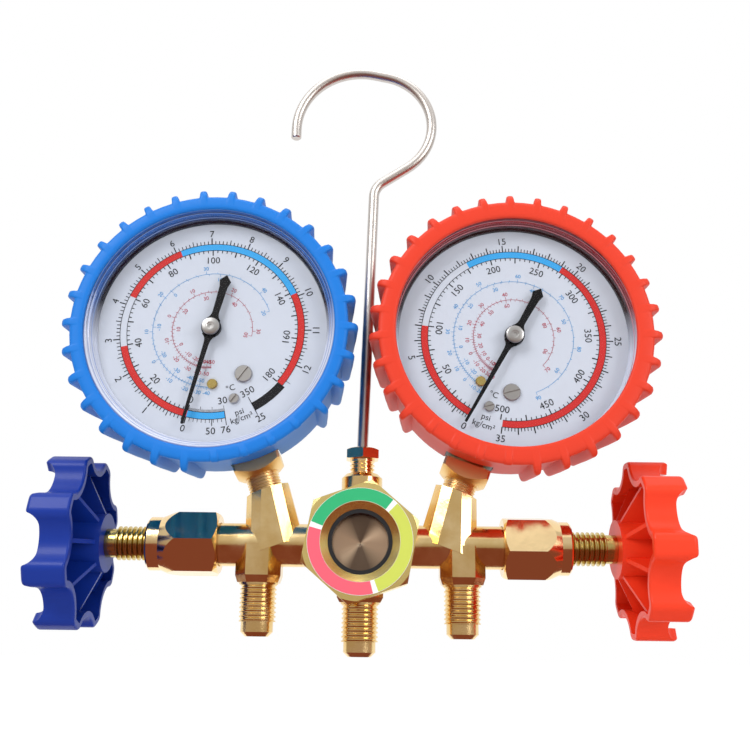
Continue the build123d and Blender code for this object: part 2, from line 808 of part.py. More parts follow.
for name, side in SIDES.items():
    face = gauge_plane(side)
    down = neck_plane(side, gauge_reach[name])
    downward = Plane(origin=down.origin, x_dir=down.x_dir, z_dir=-down.z_dir)

    with BuildPart() as case:
        case_points = [(0, case_back), (case_r - case_bend, case_back), (case_r, case_back + case_bend)]
        case_points += [(case_r, case_front), (case_inner_r, case_front)]
        case_points += [(case_inner_r, case_back + case_wall), (0, case_back + case_wall)]
        turn(face, case_points)
        neck_hole = downward.offset(case_r + case_wall - neck_hole_depth)
        hole_r = socket_neck_r + loose_gap
        flat_backed_bar(neck_hole, hole_r, ledge_back - loose_gap, neck_hole_depth, Mode.SUBTRACT)
    save(case, f"{name}_case")

    with BuildPart() as lens:
        skirt_r = case_inner_r - fit_gap
        lens_points = [(0, lens_front - lens_t), (skirt_r - lens_skirt_t, lens_front - lens_t)]
        lens_points += [(skirt_r - lens_skirt_t, dial_front + loose_gap), (skirt_r, dial_front + loose_gap)]
        lens_points += [(skirt_r, case_front), (case_r, case_front), (case_r, lens_rim_front)]
        lens_points += [(lens_window_r, lens_rim_front), (lens_window_r - lens_bevel, lens_front)]
        turn(face, lens_points + [(0, lens_front)])
    save(lens, f"{name}_lens")

    boot_r_in = case_r + loose_gap
    with BuildPart() as boot:
        boot_points = [(boot_lip_r, lens_rim_front + loose_gap), (boot_lip_r, boot_front - boot_lip_chamfer)]
        boot_points += [(boot_lip_r + boot_lip_chamfer, boot_front), (boot_face_r, boot_front)]
        boot_points += [(boot_front_r, boot_shoulder), (boot_back_r, boot_back + boot_back_bevel)]
        boot_points += [(boot_back_r - boot_back_bevel, boot_back), (boot_back_hole_r, boot_back)]
        boot_points += [(boot_back_hole_r, case_back - loose_gap), (boot_r_in, case_back - loose_gap)]
        boot_points += [(boot_r_in, lens_rim_front + loose_gap)]
        turn(face, boot_points)
        lug_nose_front = lug_front - lug_nose_drop
        lug_points = [(lug_foot_r, lug_front), (lug_nose_r, lug_nose_front), (lug_tip_r, lug_tip_front)]
        lug_points += [(lug_tip_back_r, boot_back + lug_back_gap), (lug_root_r, boot_back + lug_root_gap)]
        short_points = [(lug_foot_r, lug_front), (short_lug_r, lug_nose_front)]
        short_points += [(short_lug_r, short_lug_back), (lug_foot_r, short_lug_back)]
        for lug in range(lug_count[name]):
            turned = lug_phase[name] + side * gauge_lean + 360 / lug_count[name] * lug
            from_neck = abs((turned + 90 + 180) % 360 - 180)
            spoke = gauge_plane(side, 0, turned)
            lug_plane = Plane(origin=spoke.origin, x_dir=spoke.x_dir, z_dir=-spoke.y_dir)
            shape = short_points if from_neck < short_lug_window else lug_points
            slab(lug_plane.offset(-lug_w / 2), shape, lug_w)
        hole_start = downward.offset(case_r - case_bend)
        prism(hole_start, square_half + boot_hole_gap, boot_front_r, 4, square_turn, Mode.SUBTRACT)
    save(boot, f"{name}_boot")

    with BuildPart() as dial:
        rod(gauge_plane(side, dial_back), case_inner_r - fit_gap, dial_t)
        rod(gauge_plane(side, dial_back), dial_hole_r, dial_t, Mode.SUBTRACT)
        for across, up, head_r in fixings.values():
            rod(shifted(gauge_plane(side, dial_back), across, up), dial_screw_hole_r, dial_t, Mode.SUBTRACT)
    save(dial, f"{name}_dial")

    for fixing_name, (across, up, head_r) in fixings.items():
        with BuildPart() as fixing:
            shank_foot = shifted(gauge_plane(side, dial_back - fixing_shank_len), across, up)
            rod(shank_foot, fixing_shank_r, dial_t + fixing_shank_len)
            rod(shifted(gauge_plane(side, dial_front), across, up), head_r, fixing_head_len)
            chamfer(fixing.faces().sort_by(Axis.Y)[0].edges(), fixing_chamfer)
            if fixing_name != "dial_rivet":
                with BuildSketch(shifted(gauge_plane(side, dial_front + fixing_head_len), across, up)):
                    Rectangle(2 * head_r, fixing_slot_w, rotation=fixing_slot_turn)
                extrude(amount=-fixing_slot_depth, mode=Mode.SUBTRACT)
        save(fixing, f"{name}_{fixing_name}")

    # Pointer, its hub and the pinion arbor, at the zero mark
    pointing = gauge_plane(side, pointer_front - pointer_t, zero_angle[name] + side * gauge_lean)
    with BuildPart() as pointer:
        blade_end = pointer_len - pointer_point_len
        blade = [(0, -pointer_root_half), (blade_end, -pointer_tip_half), (pointer_len, 0)]
        blade += [(blade_end, pointer_tip_half), (0, pointer_root_half)]
        slab(pointing, blade, pointer_t)
        tail = [(0, -pointer_tip_half), (0, pointer_tip_half), (-pointer_tail_mid, pointer_tail_half)]
        tail += [(-pointer_tail, 0), (-pointer_tail_mid, -pointer_tail_half)]
        slab(pointing, tail, pointer_t)
        boss_back = dial_front + pointer_boss_gap
        rod(gauge_plane(side, boss_back), pointer_boss_r, pointer_boss_front - boss_back)
        rod(gauge_plane(side, dial_front), arbor_r + fit_gap, lens_front, Mode.SUBTRACT)
    save(pointer, f"{name}_pointer")

    with BuildPart() as pointer_hub:
        hub_points = [(0, pointer_boss_front), (hub_dome_r, pointer_boss_front)]
        hub_points += [(hub_dome_r, hub_front - hub_chamfer), (hub_dome_r - hub_chamfer, hub_front)]
        turn(face, hub_points + [(0, hub_front)])
        hub_bore_len = hub_front - hub_cap - pointer_boss_front
        rod(gauge_plane(side, pointer_boss_front), arbor_r + fit_gap, hub_bore_len, Mode.SUBTRACT)
    save(pointer_hub, f"{name}_pointer_hub")

    with BuildPart() as pinion:
        arbor_back = back_plate_back - arbor_tail
        rod(gauge_plane(side, arbor_back), arbor_r, hub_front - hub_cap - loose_gap - arbor_back)
        gap_down = -90 + 180 / pinion_teeth
        pinion_points = teeth(pinion_pitch_r, pinion_teeth, 0, pinion_teeth, gap_down, pinion_root_half)
        slab(gauge_plane(side, pinion_back), pinion_points, pinion_front - pinion_back)
        collet_r = spring_r_in - spring_t / 2 - loose_gap
        rod(gauge_plane(side, pinion_front), collet_r, collet_front - pinion_front)
    save(pinion, f"{name}_pinion")

    # Toothed sector on its own arbor, below the pinion
    pivot = shifted(gauge_plane(side, sector_back), 0, -gear_centres)
    with BuildPart() as sector:
        step = 360 / sector_teeth
        rim = teeth(sector_pitch_r, sector_teeth, -sector_last, 1 - sector_first, 90, sector_root_half)
        inner_r = sector_pitch_r - dedendum - sector_rim_t
        first_angle = radians(90 - sector_last * step)
        last_angle = radians(90 - sector_first * step)
        inner = [(inner_r * cos(last_angle), inner_r * sin(last_angle))]
        inner += [(inner_r * cos(first_angle), inner_r * sin(first_angle))]
        slab(pivot, rim + inner, sector_t)
        middle = (first_angle + last_angle) / 2
        reach = inner_r + sector_web_bite
        far = (reach * cos(middle), reach * sin(middle))
        wide = (sector_web_half * sin(middle), -sector_web_half * cos(middle))
        web = [wide, (far[0] + wide[0], far[1] + wide[1]), (far[0] - wide[0], far[1] - wide[1])]
        slab(pivot, web + [(-wide[0], -wide[1])], sector_t)
        rod(pivot, sector_hub_r, sector_t)
        tail_length = hypot(tail_left, tail_down)
        tail_side = (tail_half * tail_down / tail_length, -tail_half * tail_left / tail_length)
        arm = [(tail_side[0], tail_side[1]), (-tail_side[0], -tail_side[1])]
        arm += [(-tail_left - tail_side[0], -tail_down - tail_side[1])]
        arm += [(-tail_left + tail_side[0], -tail_down + tail_side[1])]
        slab(pivot, arm, sector_t)
        rod(shifted(pivot, -tail_left, -tail_down), tail_half, sector_t)
        pin_foot = shifted(gauge_plane(side, link_back), -tail_left, -gear_centres - tail_down)
        rod(pin_foot, tail_pin_r, sector_back - link_back)
        arbor_len = front_plate_front - loose_gap - back_plate_back - loose_gap
        arbor_foot = shifted(gauge_plane(side, back_plate_back + loose_gap), 0, -gear_centres)
        rod(arbor_foot, sector_arbor_r, arbor_len)
    save(sector, f"{name}_sector")

    # Movement frame: back plate, front plate, pillars, dial posts and hairspring stud
    with BuildPart() as movement:
        plates = {back_plate_back: back_plate_bottom, front_plate_back: front_plate_bottom}
        for plate_back, bottom in plates.items():
            plate = [(-plate_half, plate_top), (-plate_half, -bottom)]
            plate += [(plate_half, -bottom), (plate_half, plate_top)]
            slab(gauge_plane(side, plate_back), plate, plate_t)
        for across, up in (upper_pillar, lower_pillar):
            for hand in (-1, 1):
                pillar_foot = shifted(gauge_plane(side, back_plate_front), hand * across, up)
                rod(pillar_foot, pillar_r, front_plate_back - back_plate_front)
        for across, up, head_r in fixings.values():
            post_foot = shifted(gauge_plane(side, front_plate_front), across, up)
            rod(post_foot, dial_post_r, dial_back - front_plate_front)
            hole_depth = fixing_shank_len + loose_gap
            post_hole = shifted(gauge_plane(side, dial_back - hole_depth), across, up)
            rod(post_hole, fixing_shank_r + fit_gap, hole_depth, Mode.SUBTRACT)
        stud_len = front_plate_back - spring_back
        stud_down = spring_r_out + spring_t / 2 + spring_stud_r
        rod(shifted(gauge_plane(side, spring_back), 0, -stud_down), spring_stud_r, stud_len)
        rod(gauge_plane(side, back_plate_back), arbor_r + fit_gap, dial_back, Mode.SUBTRACT)
        sector_bearing = shifted(gauge_plane(side, back_plate_back), 0, -gear_centres)
        rod(sector_bearing, sector_arbor_r + fit_gap, dial_back, Mode.SUBTRACT)
        for hand in (-1, 1):
            screw_across = hand * frame_screw_half
            screw_at = shifted(gauge_plane(side, back_plate_back), screw_across, -frame_screw_down)
            rod(screw_at, frame_screw_r + fit_gap, plate_t, Mode.SUBTRACT)
    save(movement, f"{name}_movement")

    with BuildPart() as movement_screws:
        for hand in (-1, 1):
            screw_across = hand * frame_screw_half
            head_at = shifted(gauge_plane(side, back_plate_front), screw_across, -frame_screw_down)
            rod(head_at, frame_screw_head_r, frame_screw_head_len)
            rod(head_at, frame_screw_r, -frame_screw_len)
            with BuildSketch(head_at.offset(frame_screw_head_len)):
                Rectangle(2 * frame_screw_head_r, fixing_slot_w)
            extrude(amount=-fixing_slot_depth, mode=Mode.SUBTRACT)
    save(movement_screws, f"{name}_movement_screws")

    # Hairspring: half turns of slowly growing radius, between the arbor and the stud
    with BuildPart() as hairspring:
        half_turns = 2 * spring_turns
        growth = (spring_r_out - spring_r_in) / half_turns
        spring_face = gauge_plane(side, spring_back)
        for half_turn in range(half_turns):
            radius = spring_r_in + growth * half_turn + growth / 2
            hand = 1 if half_turn % 2 == 0 else -1
            centre = hand * growth / 2
            with BuildSketch(spring_face) as ring_half:
                with BuildLine():
                    outer = CenterArc((0, centre), radius + spring_t / 2, -90 * hand, 180)
                    inner_arc = CenterArc((0, centre), radius - spring_t / 2, -90 * hand, 180)
                    Line(outer @ 0, inner_arc @ 0)
                    Line(outer @ 1, inner_arc @ 1)
                make_face()
            extrude(ring_half.sketch, amount=spring_w)
    save(hairspring, f"{name}_hairspring")

    # Bourdon tube: a flattened tube bent in a C, with a plug and lug on its free end
    tube_start = -90 - bourdon_start
    tube_end = tube_start - bourdon_sweep

    def tube_section(angle):
        """Plane across the bent tube at an angle about the gauge, with X radial."""
        spoke = gauge_plane(side, bourdon_mid, angle)
        origin = spoke.origin + spoke.x_dir * bourdon_r
        return Plane(origin=origin, x_dir=spoke.x_dir, z_dir=-spoke.y_dir)

    gauge_axis = Axis(face.origin, face.z_dir)
    with BuildPart() as bourdon_tube:
        with BuildSketch(tube_section(tube_start)):
            Ellipse(bourdon_half_t, bourdon_half_w)
            Ellipse(bourdon_half_t - bourdon_wall, bourdon_half_w - bourdon_wall, mode=Mode.SUBTRACT)
        revolve(axis=gauge_axis, revolution_arc=-bourdon_sweep)
    save(bourdon_tube, f"{name}_bourdon_tube")

    with BuildPart() as tube_tip:
        with BuildSketch(tube_section(tube_end)):
            Ellipse(bourdon_half_t + tip_cover, bourdon_half_w + tip_cover)
        extrude(amount=tip_len)
        arm_angle = radians(tube_end)
        inward = shifted(gauge_plane(side, lug_arm_back, tube_end), bourdon_r, 0)
        arm_points = [(0, 0), (0, -tip_len), (-lug_arm_len, -tip_len / 2 - lug_arm_half)]
        arm_points += [(-lug_arm_len, -tip_len / 2 + lug_arm_half)]
        slab(inward, arm_points, lug_arm_front - lug_arm_back)
        rod(shifted(inward, -lug_arm_len, -tip_len / 2), lug_arm_half, lug_arm_front - lug_arm_back)
    save(tube_tip, f"{name}_tube_tip")

    # Link from the sector's tail to the lug
    link_from = Vector(-tail_left, -gear_centres - tail_down)
    lug_radius = bourdon_r - lug_arm_len
    link_to_x = lug_radius * cos(arm_angle) + tip_len / 2 * sin(arm_angle)
    link_to = Vector(link_to_x, lug_radius * sin(arm_angle) - tip_len / 2 * cos(arm_angle))
    link_way = link_to - link_from
    sideways = Vector(-link_way.Y, link_way.X).normalized() * link_half
    with BuildPart() as link:
        link_face = gauge_plane(side, link_back)
        corners = [link_from + sideways, link_from - sideways, link_to - sideways, link_to + sideways]
        slab(link_face, [(corner.X, corner.Y) for corner in corners], link_t)
        for end in (link_from, link_to):
            rod(shifted(link_face, end.X, end.Y), link_eye_r, link_t)
            rod(shifted(link_face, end.X, end.Y), tail_pin_r + fit_gap, link_t, Mode.SUBTRACT)
    save(link, f"{name}_link")

    # Socket: threaded stem, wrench square, and the block that holds the tube and the movement
    with BuildPart() as socket:
        hole_end = gauge_reach[name] - neck_top + socket_hole_depth - seat_gap
        prism(downward.offset(square_top), square_half, socket_shoulder - square_top, 4, square_turn)
        square_cut = [(0, square_top), (square_corner_r, square_top), (square_corner_r, square_bottom)]
        square_cut += [(socket_shoulder_r, socket_shoulder), (0, socket_shoulder)]
        turn(downward, square_cut, Mode.INTERSECT)
        thread = rings(socket_thread_r, socket_thread_depth, socket_thread_pitch, socket_shoulder, hole_end)
        turn(downward, [(0, socket_shoulder), *thread, (0, hole_end)])
        neck_start = holder_top + holder_bite
        flat_backed_bar(downward.offset(neck_start), socket_neck_r, ledge_back, square_top - neck_start)
        holder_bottom = (case_inner_r**2 - holder_half**2) ** 0.5 - seat_gap
        holder = [(-holder_half, -holder_top), (-holder_half, -holder_bottom), (holder_half, -holder_bottom)]
        slab(gauge_plane(side, ledge_back), holder + [(holder_half, -holder_top)], holder_front - ledge_back)
        ledge_low = -holder_top - ledge_bite
        ledge = [(-holder_half, -ledge_top), (-holder_half, ledge_low), (holder_half, ledge_low)]
        slab(gauge_plane(side, ledge_back), ledge + [(holder_half, -ledge_top)], ledge_front - ledge_back)
        rod(downward.offset(bourdon_r), gauge_passage_r, hole_end - bourdon_r, Mode.SUBTRACT)
        for hand in (-1, 1):
            screw_at = shifted(gauge_plane(side, ledge_front), hand * frame_screw_half, -frame_screw_down)
            rod(screw_at, frame_screw_r + fit_gap, plate_t - frame_screw_len - seat_gap, Mode.SUBTRACT)
        with BuildSketch(tube_section(-90)) as slot:
            Ellipse(bourdon_half_t + fit_gap, bourdon_half_w + fit_gap)
        revolve(slot.sketch, axis=gauge_axis, revolution_arc=-2 * bourdon_start, mode=Mode.SUBTRACT)
    save(socket, f"{name}_socket")
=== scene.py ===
# Refrigerant manifold gauge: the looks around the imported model.
# Lengths are in millimetres in this script's own values, +Z up, and the dials face -Y.
# "Forward" is a distance from the manifold tube's axis towards the viewer.

import json
import math

import bmesh
import bpy
from mathutils import Matrix, Vector


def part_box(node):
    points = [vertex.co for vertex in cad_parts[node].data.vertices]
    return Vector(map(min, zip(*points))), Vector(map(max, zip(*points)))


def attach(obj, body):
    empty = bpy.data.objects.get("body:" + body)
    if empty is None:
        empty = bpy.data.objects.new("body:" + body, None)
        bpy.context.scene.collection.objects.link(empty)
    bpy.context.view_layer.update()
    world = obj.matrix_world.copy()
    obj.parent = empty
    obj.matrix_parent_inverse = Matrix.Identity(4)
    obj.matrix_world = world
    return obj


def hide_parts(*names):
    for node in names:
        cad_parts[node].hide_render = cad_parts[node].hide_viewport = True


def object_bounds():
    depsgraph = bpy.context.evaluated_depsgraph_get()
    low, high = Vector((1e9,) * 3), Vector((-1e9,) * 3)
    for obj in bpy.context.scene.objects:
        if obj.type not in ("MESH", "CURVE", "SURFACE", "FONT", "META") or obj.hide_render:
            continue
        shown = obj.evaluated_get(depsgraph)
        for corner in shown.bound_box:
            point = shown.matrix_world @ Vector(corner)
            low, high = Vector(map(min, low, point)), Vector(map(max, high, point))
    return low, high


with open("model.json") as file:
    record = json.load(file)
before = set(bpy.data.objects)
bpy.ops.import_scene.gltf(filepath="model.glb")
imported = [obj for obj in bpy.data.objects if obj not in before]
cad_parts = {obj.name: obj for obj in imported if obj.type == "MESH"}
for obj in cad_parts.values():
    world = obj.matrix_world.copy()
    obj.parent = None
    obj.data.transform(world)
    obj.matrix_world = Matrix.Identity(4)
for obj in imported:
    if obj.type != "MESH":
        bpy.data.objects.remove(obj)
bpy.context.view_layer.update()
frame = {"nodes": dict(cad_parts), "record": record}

MM = 0.001
SIDES = {"low": -1, "high": 1}
SIDE_COLOUR = {"low": "blue", "high": "red"}
gauge_lean = math.radians(19.8)


def node_box(node):
    """Lowest and highest corner of a CAD node in millimetres."""
    lowest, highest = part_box(node)
    return lowest / MM, highest / MM


# Datums read from the frame

dial_front = {}
gauge_centre = {}
for name in SIDES:
    lowest, highest = node_box(f"{name}_dial")
    dial_front[name] = -lowest.y
    gauge_centre[name] = ((lowest.x + highest.x) / 2, (lowest.z + highest.z) / 2)
lowest, highest = node_box("sight_glass_label")
sight_centre = ((lowest.x + highest.x) / 2, (lowest.z + highest.z) / 2)
label_front = -lowest.y
centre_x, axis_z = sight_centre


# Materials


class Surface:
    """A material's node tree with short ways to add nodes."""

    def __init__(self, name, colour, roughness, metallic=0.0):
        self.material = bpy.data.materials.new(name)
        self.material.use_nodes = True
        self.tree = self.material.node_tree
        self.shader = self.tree.nodes["Principled BSDF"]
        self.set("Base Color", (*colour, 1.0))
        self.set("Roughness", roughness)
        self.set("Metallic", metallic)
        self.material.diffuse_color = (*colour, 1.0)

    def set(self, socket, value):
        """Give one of the shader's sockets a plain value."""
        self.shader.inputs[socket].default_value = value

    def node(self, kind, **sockets):
        """Add a node, with values or links for its sockets."""
        made = self.tree.nodes.new(kind)
        for socket, value in sockets.items():
            self.feed(made.inputs[socket.replace("_", " ")], value)
        return made

    def feed(self, socket, value):
        """Link an output to a socket, or give it a value."""
        if isinstance(value, bpy.types.NodeSocket):
            self.tree.links.new(value, socket)
        else:
            socket.default_value = value

    def place(self):
        """Place of a point in the object's own metres."""
        return self.node("ShaderNodeTexCoord").outputs["Object"]

    def offset_from(self, centre):
        """Way in metres to a point from the centre of a round face that looks at the viewer."""
        return self.vector_math("SUBTRACT", self.place(), (centre[0] * MM, 0.0, centre[1] * MM))

    def vector_math(self, operation, first, second=(0.0, 0.0, 0.0)):
        """Result of an operation on vectors, which is a number for a length."""
        made = self.node("ShaderNodeVectorMath")
        made.operation = operation
        self.feed(made.inputs[0], first)
        self.feed(made.inputs[1], second)
        return made.outputs["Value" if operation == "LENGTH" else "Vector"]

    def number_math(self, operation, first, second=0.0):
        """Result of an operation on numbers."""
        made = self.node("ShaderNodeMath")
        made.operation = operation
        self.feed(made.inputs[0], first)
        self.feed(made.inputs[1], second)
        return made.outputs["Value"]

    def noise(self, scale, detail=4.0):
        """Noise between 0 and 1, with about one feature in 1 / scale metres."""
        made = self.node("ShaderNodeTexNoise", Vector=self.place(), Scale=scale, Detail=detail)
        return made.outputs["Fac"]

    def spread(self, value, low, high, new_low=0.0, new_high=1.0):
        """Rescale a value between two limits."""
        mapped = self.node("ShaderNodeMapRange")
        for index, number in enumerate((value, low, high, new_low, new_high)):
            self.feed(mapped.inputs[index], number)
        return mapped.outputs["Result"]

    def blend(self, share, first, second):
        """Mix two colours."""
        mixed = self.node("ShaderNodeMix")
        mixed.data_type = "RGBA"
        self.feed(mixed.inputs[0], share)
        self.feed(mixed.inputs[6], first if isinstance(first, bpy.types.NodeSocket) else (*first, 1.0))
        self.feed(mixed.inputs[7], second if isinstance(second, bpy.types.NodeSocket) else (*second, 1.0))
        return mixed.outputs[2]

    def show(self, shader):
        """Make a shader the material's surface."""
        self.tree.links.new(shader, self.tree.nodes["Material Output"].inputs["Surface"])

    def bump(self, height, distance, strength=1.0):
        """Raise the surface by a height texture, in metres."""
        raised = self.node("ShaderNodeBump", Height=height, Distance=distance, Strength=strength)
        self.tree.links.new(raised.outputs["Normal"], self.shader.inputs["Normal"])
        return self


def chrome():
    """Bright plated wire with faint drawing marks."""
    surface = Surface("chrome", (0.60, 0.555, 0.52), roughness=0.34, metallic=1.0)
    return surface.bump(surface.noise(900.0), distance=0.000004).material


def polished_brass():
    """Turned brass with faint tool marks."""
    surface = Surface("polished_brass", (0.95, 0.70, 0.37), roughness=0.13, metallic=1.0)
    marks = surface.noise(260.0, detail=3.0)
    surface.feed(surface.shader.inputs["Roughness"], surface.spread(marks, 0.3, 0.7, 0.08, 0.18))
    return surface.bump(surface.noise(500.0, detail=2.0), distance=0.00001).material


def cast_brass():
    """Forged brass with a lightly pebbled skin."""
    dull = (0.84, 0.58, 0.24)
    bright = (0.95, 0.73, 0.38)
    surface = Surface("cast_brass", (0.92, 0.68, 0.32), roughness=0.2, metallic=1.0)
    patches = surface.noise(140.0)
    tint = surface.blend(surface.spread(patches, 0.35, 0.7), dull, bright)
    surface.feed(surface.shader.inputs["Base Color"], tint)
    surface.feed(surface.shader.inputs["Roughness"], surface.spread(patches, 0.3, 0.7, 0.12, 0.26))
    return surface.bump(surface.noise(900.0, detail=2.0), distance=0.00003, strength=0.5).material


def stem_brass():
    """Yellow brass of the spindle threads, a little rough."""
    surface = Surface("stem_brass", (0.62, 0.47, 0.16), roughness=0.2, metallic=1.0)
    return surface.bump(surface.noise(600.0, detail=2.0), distance=0.00004).material


def moulded(name, colour, roughness, coat=0.0):
    """Moulded rubber or plastic with an even, fine grain."""
    surface = Surface(name, colour, roughness)
    surface.set("Coat Weight", coat)
    surface.set("Coat Roughness", 0.12)
    surface.set("Specular IOR Level", 0.22)
    return surface.bump(surface.noise(420.0, detail=3.0), distance=0.00004, strength=0.5).material


paint_dark_share = 0.97


def paint(name, colour, roughness=0.5):
    """Paint or ink, with the faintest mottle."""
    surface = Surface(name, colour, roughness)
    surface.set("Specular IOR Level", 0.15)
    mottle = surface.noise(300.0, detail=2.0)
    dark = tuple(paint_dark_share * part for part in colour)
    surface.feed(surface.shader.inputs["Base Color"], surface.blend(mottle, dark, colour))
    return surface.material


def clear(name, tint, roughness, weight):
    """Thin clear plastic or glass, with no refraction of what lies behind."""
    surface = Surface(name, tint, roughness)
    see_through = surface.node("ShaderNodeBsdfTransparent", Color=(*tint, 1.0))
    gloss = surface.node("ShaderNodeBsdfGlossy", Color=(1.0, 1.0, 1.0, 1.0), Roughness=roughness)
    rim = surface.node("ShaderNodeFresnel", IOR=1.45)
    mixed = surface.node("ShaderNodeMixShader")
    surface.feed(mixed.inputs[0], surface.number_math("MULTIPLY", rim.outputs["Fac"], weight))
    surface.feed(mixed.inputs[1], see_through.outputs[0])
    surface.feed(mixed.inputs[2], gloss.outputs[0])
    surface.show(mixed.outputs[0])
    return surface.material


def satin_brass(name, colour, roughness):
    """Brass with a satin machined face."""
    surface = Surface(name, colour, roughness, metallic=1.0)
    return surface.bump(surface.noise(500.0, detail=2.0), distance=0.00001).material


def brushed_disc():
    """Bronze disc turned in fine rings, with a painted reflection in its base colour: a bow-tie, light left
    and right of the centre, dark above and below.
    """
    # Colours of the painted reflection: its dark wedges and its light wedges
    dark = (0.20, 0.13, 0.09)
    bright = (0.86, 0.62, 0.42)
    rings_scale = 9000.0
    surface = Surface("brushed_disc", (0.55, 0.38, 0.25), roughness=0.32, metallic=1.0)
    surface.set("Anisotropic", 0.85)
    offset = surface.offset_from(sight_centre)
    around = surface.vector_math("CROSS_PRODUCT", offset, (0.0, 1.0, 0.0))
    around = surface.vector_math("NORMALIZE", around)
    surface.feed(surface.shader.inputs["Tangent"], around)
    apart = surface.node("ShaderNodeSeparateXYZ", Vector=around)
    upright = surface.number_math("ABSOLUTE", apart.outputs["Z"])
    # Painted reflection: the base colour is light where the rings run upright and dark where they run
    # level, as a turned disc would reflect
    painted_bow_tie_reflection = surface.blend(surface.spread(upright, 0.35, 0.95), dark, bright)
    surface.feed(surface.shader.inputs["Base Color"], painted_bow_tie_reflection)
    radius = surface.vector_math("LENGTH", offset)
    rings = surface.node("ShaderNodeTexNoise", Scale=1.0, Detail=2.0)
    surface.feed(rings.inputs["Vector"], surface.number_math("MULTIPLY", radius, rings_scale))
    return surface.bump(rings.outputs["Fac"], distance=0.00001, strength=0.4).material


materials = {
    "chrome": chrome(),
    "nut_brass": polished_brass(),
    "brass": cast_brass(),
    "stem_brass": stem_brass(),
    "steel": Surface("steel", (0.46, 0.45, 0.44), roughness=0.32, metallic=1.0).material,
    "seat_plastic": moulded("seat_plastic", (0.80, 0.79, 0.75), 0.4),
    "packing": moulded("packing", (0.02, 0.02, 0.022), 0.35),
    "blue_wheel": moulded("blue_wheel", (0.005, 0.031, 0.28), 0.4, coat=0.05),
    "red_wheel": moulded("red_wheel", (0.84, 0.046, 0.013), 0.36, coat=0.05),
    "blue_boot": moulded("blue_boot", (0.006, 0.170, 0.60), 0.45),
    "red_boot": moulded("red_boot", (0.69, 0.042, 0.016), 0.45),
    "case_black": paint("case_black", (0.012, 0.012, 0.014), 0.35),
    "window": clear("window", (1.0, 1.0, 1.0), roughness=0.02, weight=0.06),
    "dial_print": paint("dial_print", (0.54, 0.575, 0.655), 0.6),
    "black_paint": paint("black_paint", (0.006, 0.006, 0.007), 0.4),
    "label_print": paint("label_print", (0.86, 0.86, 0.86), 0.4),
    "glass": clear("glass", (0.97, 0.98, 0.98), roughness=0.015, weight=0.3),
    "indicator": brushed_disc(),
    "tube_bronze": Surface("tube_bronze", (0.60, 0.36, 0.16), roughness=0.25, metallic=1.0).material,
}
for subpart in frame["record"]["subparts"]:
    node = frame["nodes"][subpart["node"]]
    node.data.materials.clear()
    node.data.materials.append(materials[subpart["material_slot"]])
golden_brass = satin_brass("golden_brass", (1.0, 0.82, 0.32), 0.27)
frame["nodes"]["sight_glass_housing"].data.materials[0] = golden_brass
socket_brass = satin_brass("socket_brass", (0.93, 0.68, 0.33), 0.38)
for name in SIDES:
    frame["nodes"][f"{name}_socket"].data.materials[0] = socket_brass

inks = {
    "black": paint("black_ink", (0.012, 0.012, 0.014)),
    "red": paint("red_ink", (0.55, 0.03, 0.028)),
    "blue": paint("blue_ink", (0.045, 0.34, 0.72)),
    "faint_red": paint("faint_red_ink", (0.42, 0.02, 0.05)),
    "faint_blue": paint("faint_blue_ink", (0.03, 0.28, 0.62)),
    "label_green": paint("label_green_ink", (0.035, 0.42, 0.17)),
    "label_pink": paint("label_pink_ink", (0.80, 0.12, 0.17)),
    "label_yellow": paint("label_yellow_ink", (0.56, 0.62, 0.10)),
}


# Meshes


def smooth_by_angle(mesh, degrees):
    """Shade smooth, with sharp edges where faces meet at more than an angle."""
    mesh.shade_smooth()
    mesh.set_sharp_from_angle(angle=math.radians(degrees))


def add_piece(name, mesh, body, material):
    """Put a mesh in the scene as a piece that rides on a body."""
    mesh.materials.clear()
    mesh.materials.append(material)
    piece = bpy.data.objects.new(name, mesh)
    bpy.context.scene.collection.objects.link(piece)
    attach(piece, body)
    return piece


def mesh_of(name, points, faces):
    """A mesh from points in millimetres."""
    mesh = bpy.data.meshes.new(name)
    mesh.from_pydata([Vector(point) * MM for point in points], [], faces)
    mesh.update()
    return mesh


def on_face(centre, radius, angle, forward):
    """Point at a radius and an angle in degrees about an axis that faces the viewer."""
    turn = math.radians(angle)
    return Vector((centre[0] + radius * math.cos(turn), -forward, centre[1] + radius * math.sin(turn)))


def ring_faces(rings, size):
    """Faces between neighbouring rings of points, from the last ring on to the first."""
    faces = []
    for ring in range(rings):
        here = ring * size
        after = (ring + 1) % rings * size
        for index in range(size):
            following = (index + 1) % size
            faces.append((here + index, here + following, after + following, after + index))
    return faces


def lathe(name, centre, profile, steps=192):
    """Turn a closed profile of (radius, forward) points about an axis that faces the viewer."""
    points = []
    for step in range(steps):
        points += [on_face(centre, radius, 360 * step / steps, forward) for radius, forward in profile]
    mesh = mesh_of(name, points, ring_faces(steps, len(profile)))
    made_outward(mesh)
    return mesh


def made_outward(mesh):
    """Point all faces of a closed mesh outward."""
    shape = bmesh.new()
    shape.from_mesh(mesh)
    bmesh.ops.remove_doubles(shape, verts=shape.verts, dist=0.000001)
    bmesh.ops.recalc_face_normals(shape, faces=shape.faces)
    shape.to_mesh(mesh)
    shape.free()


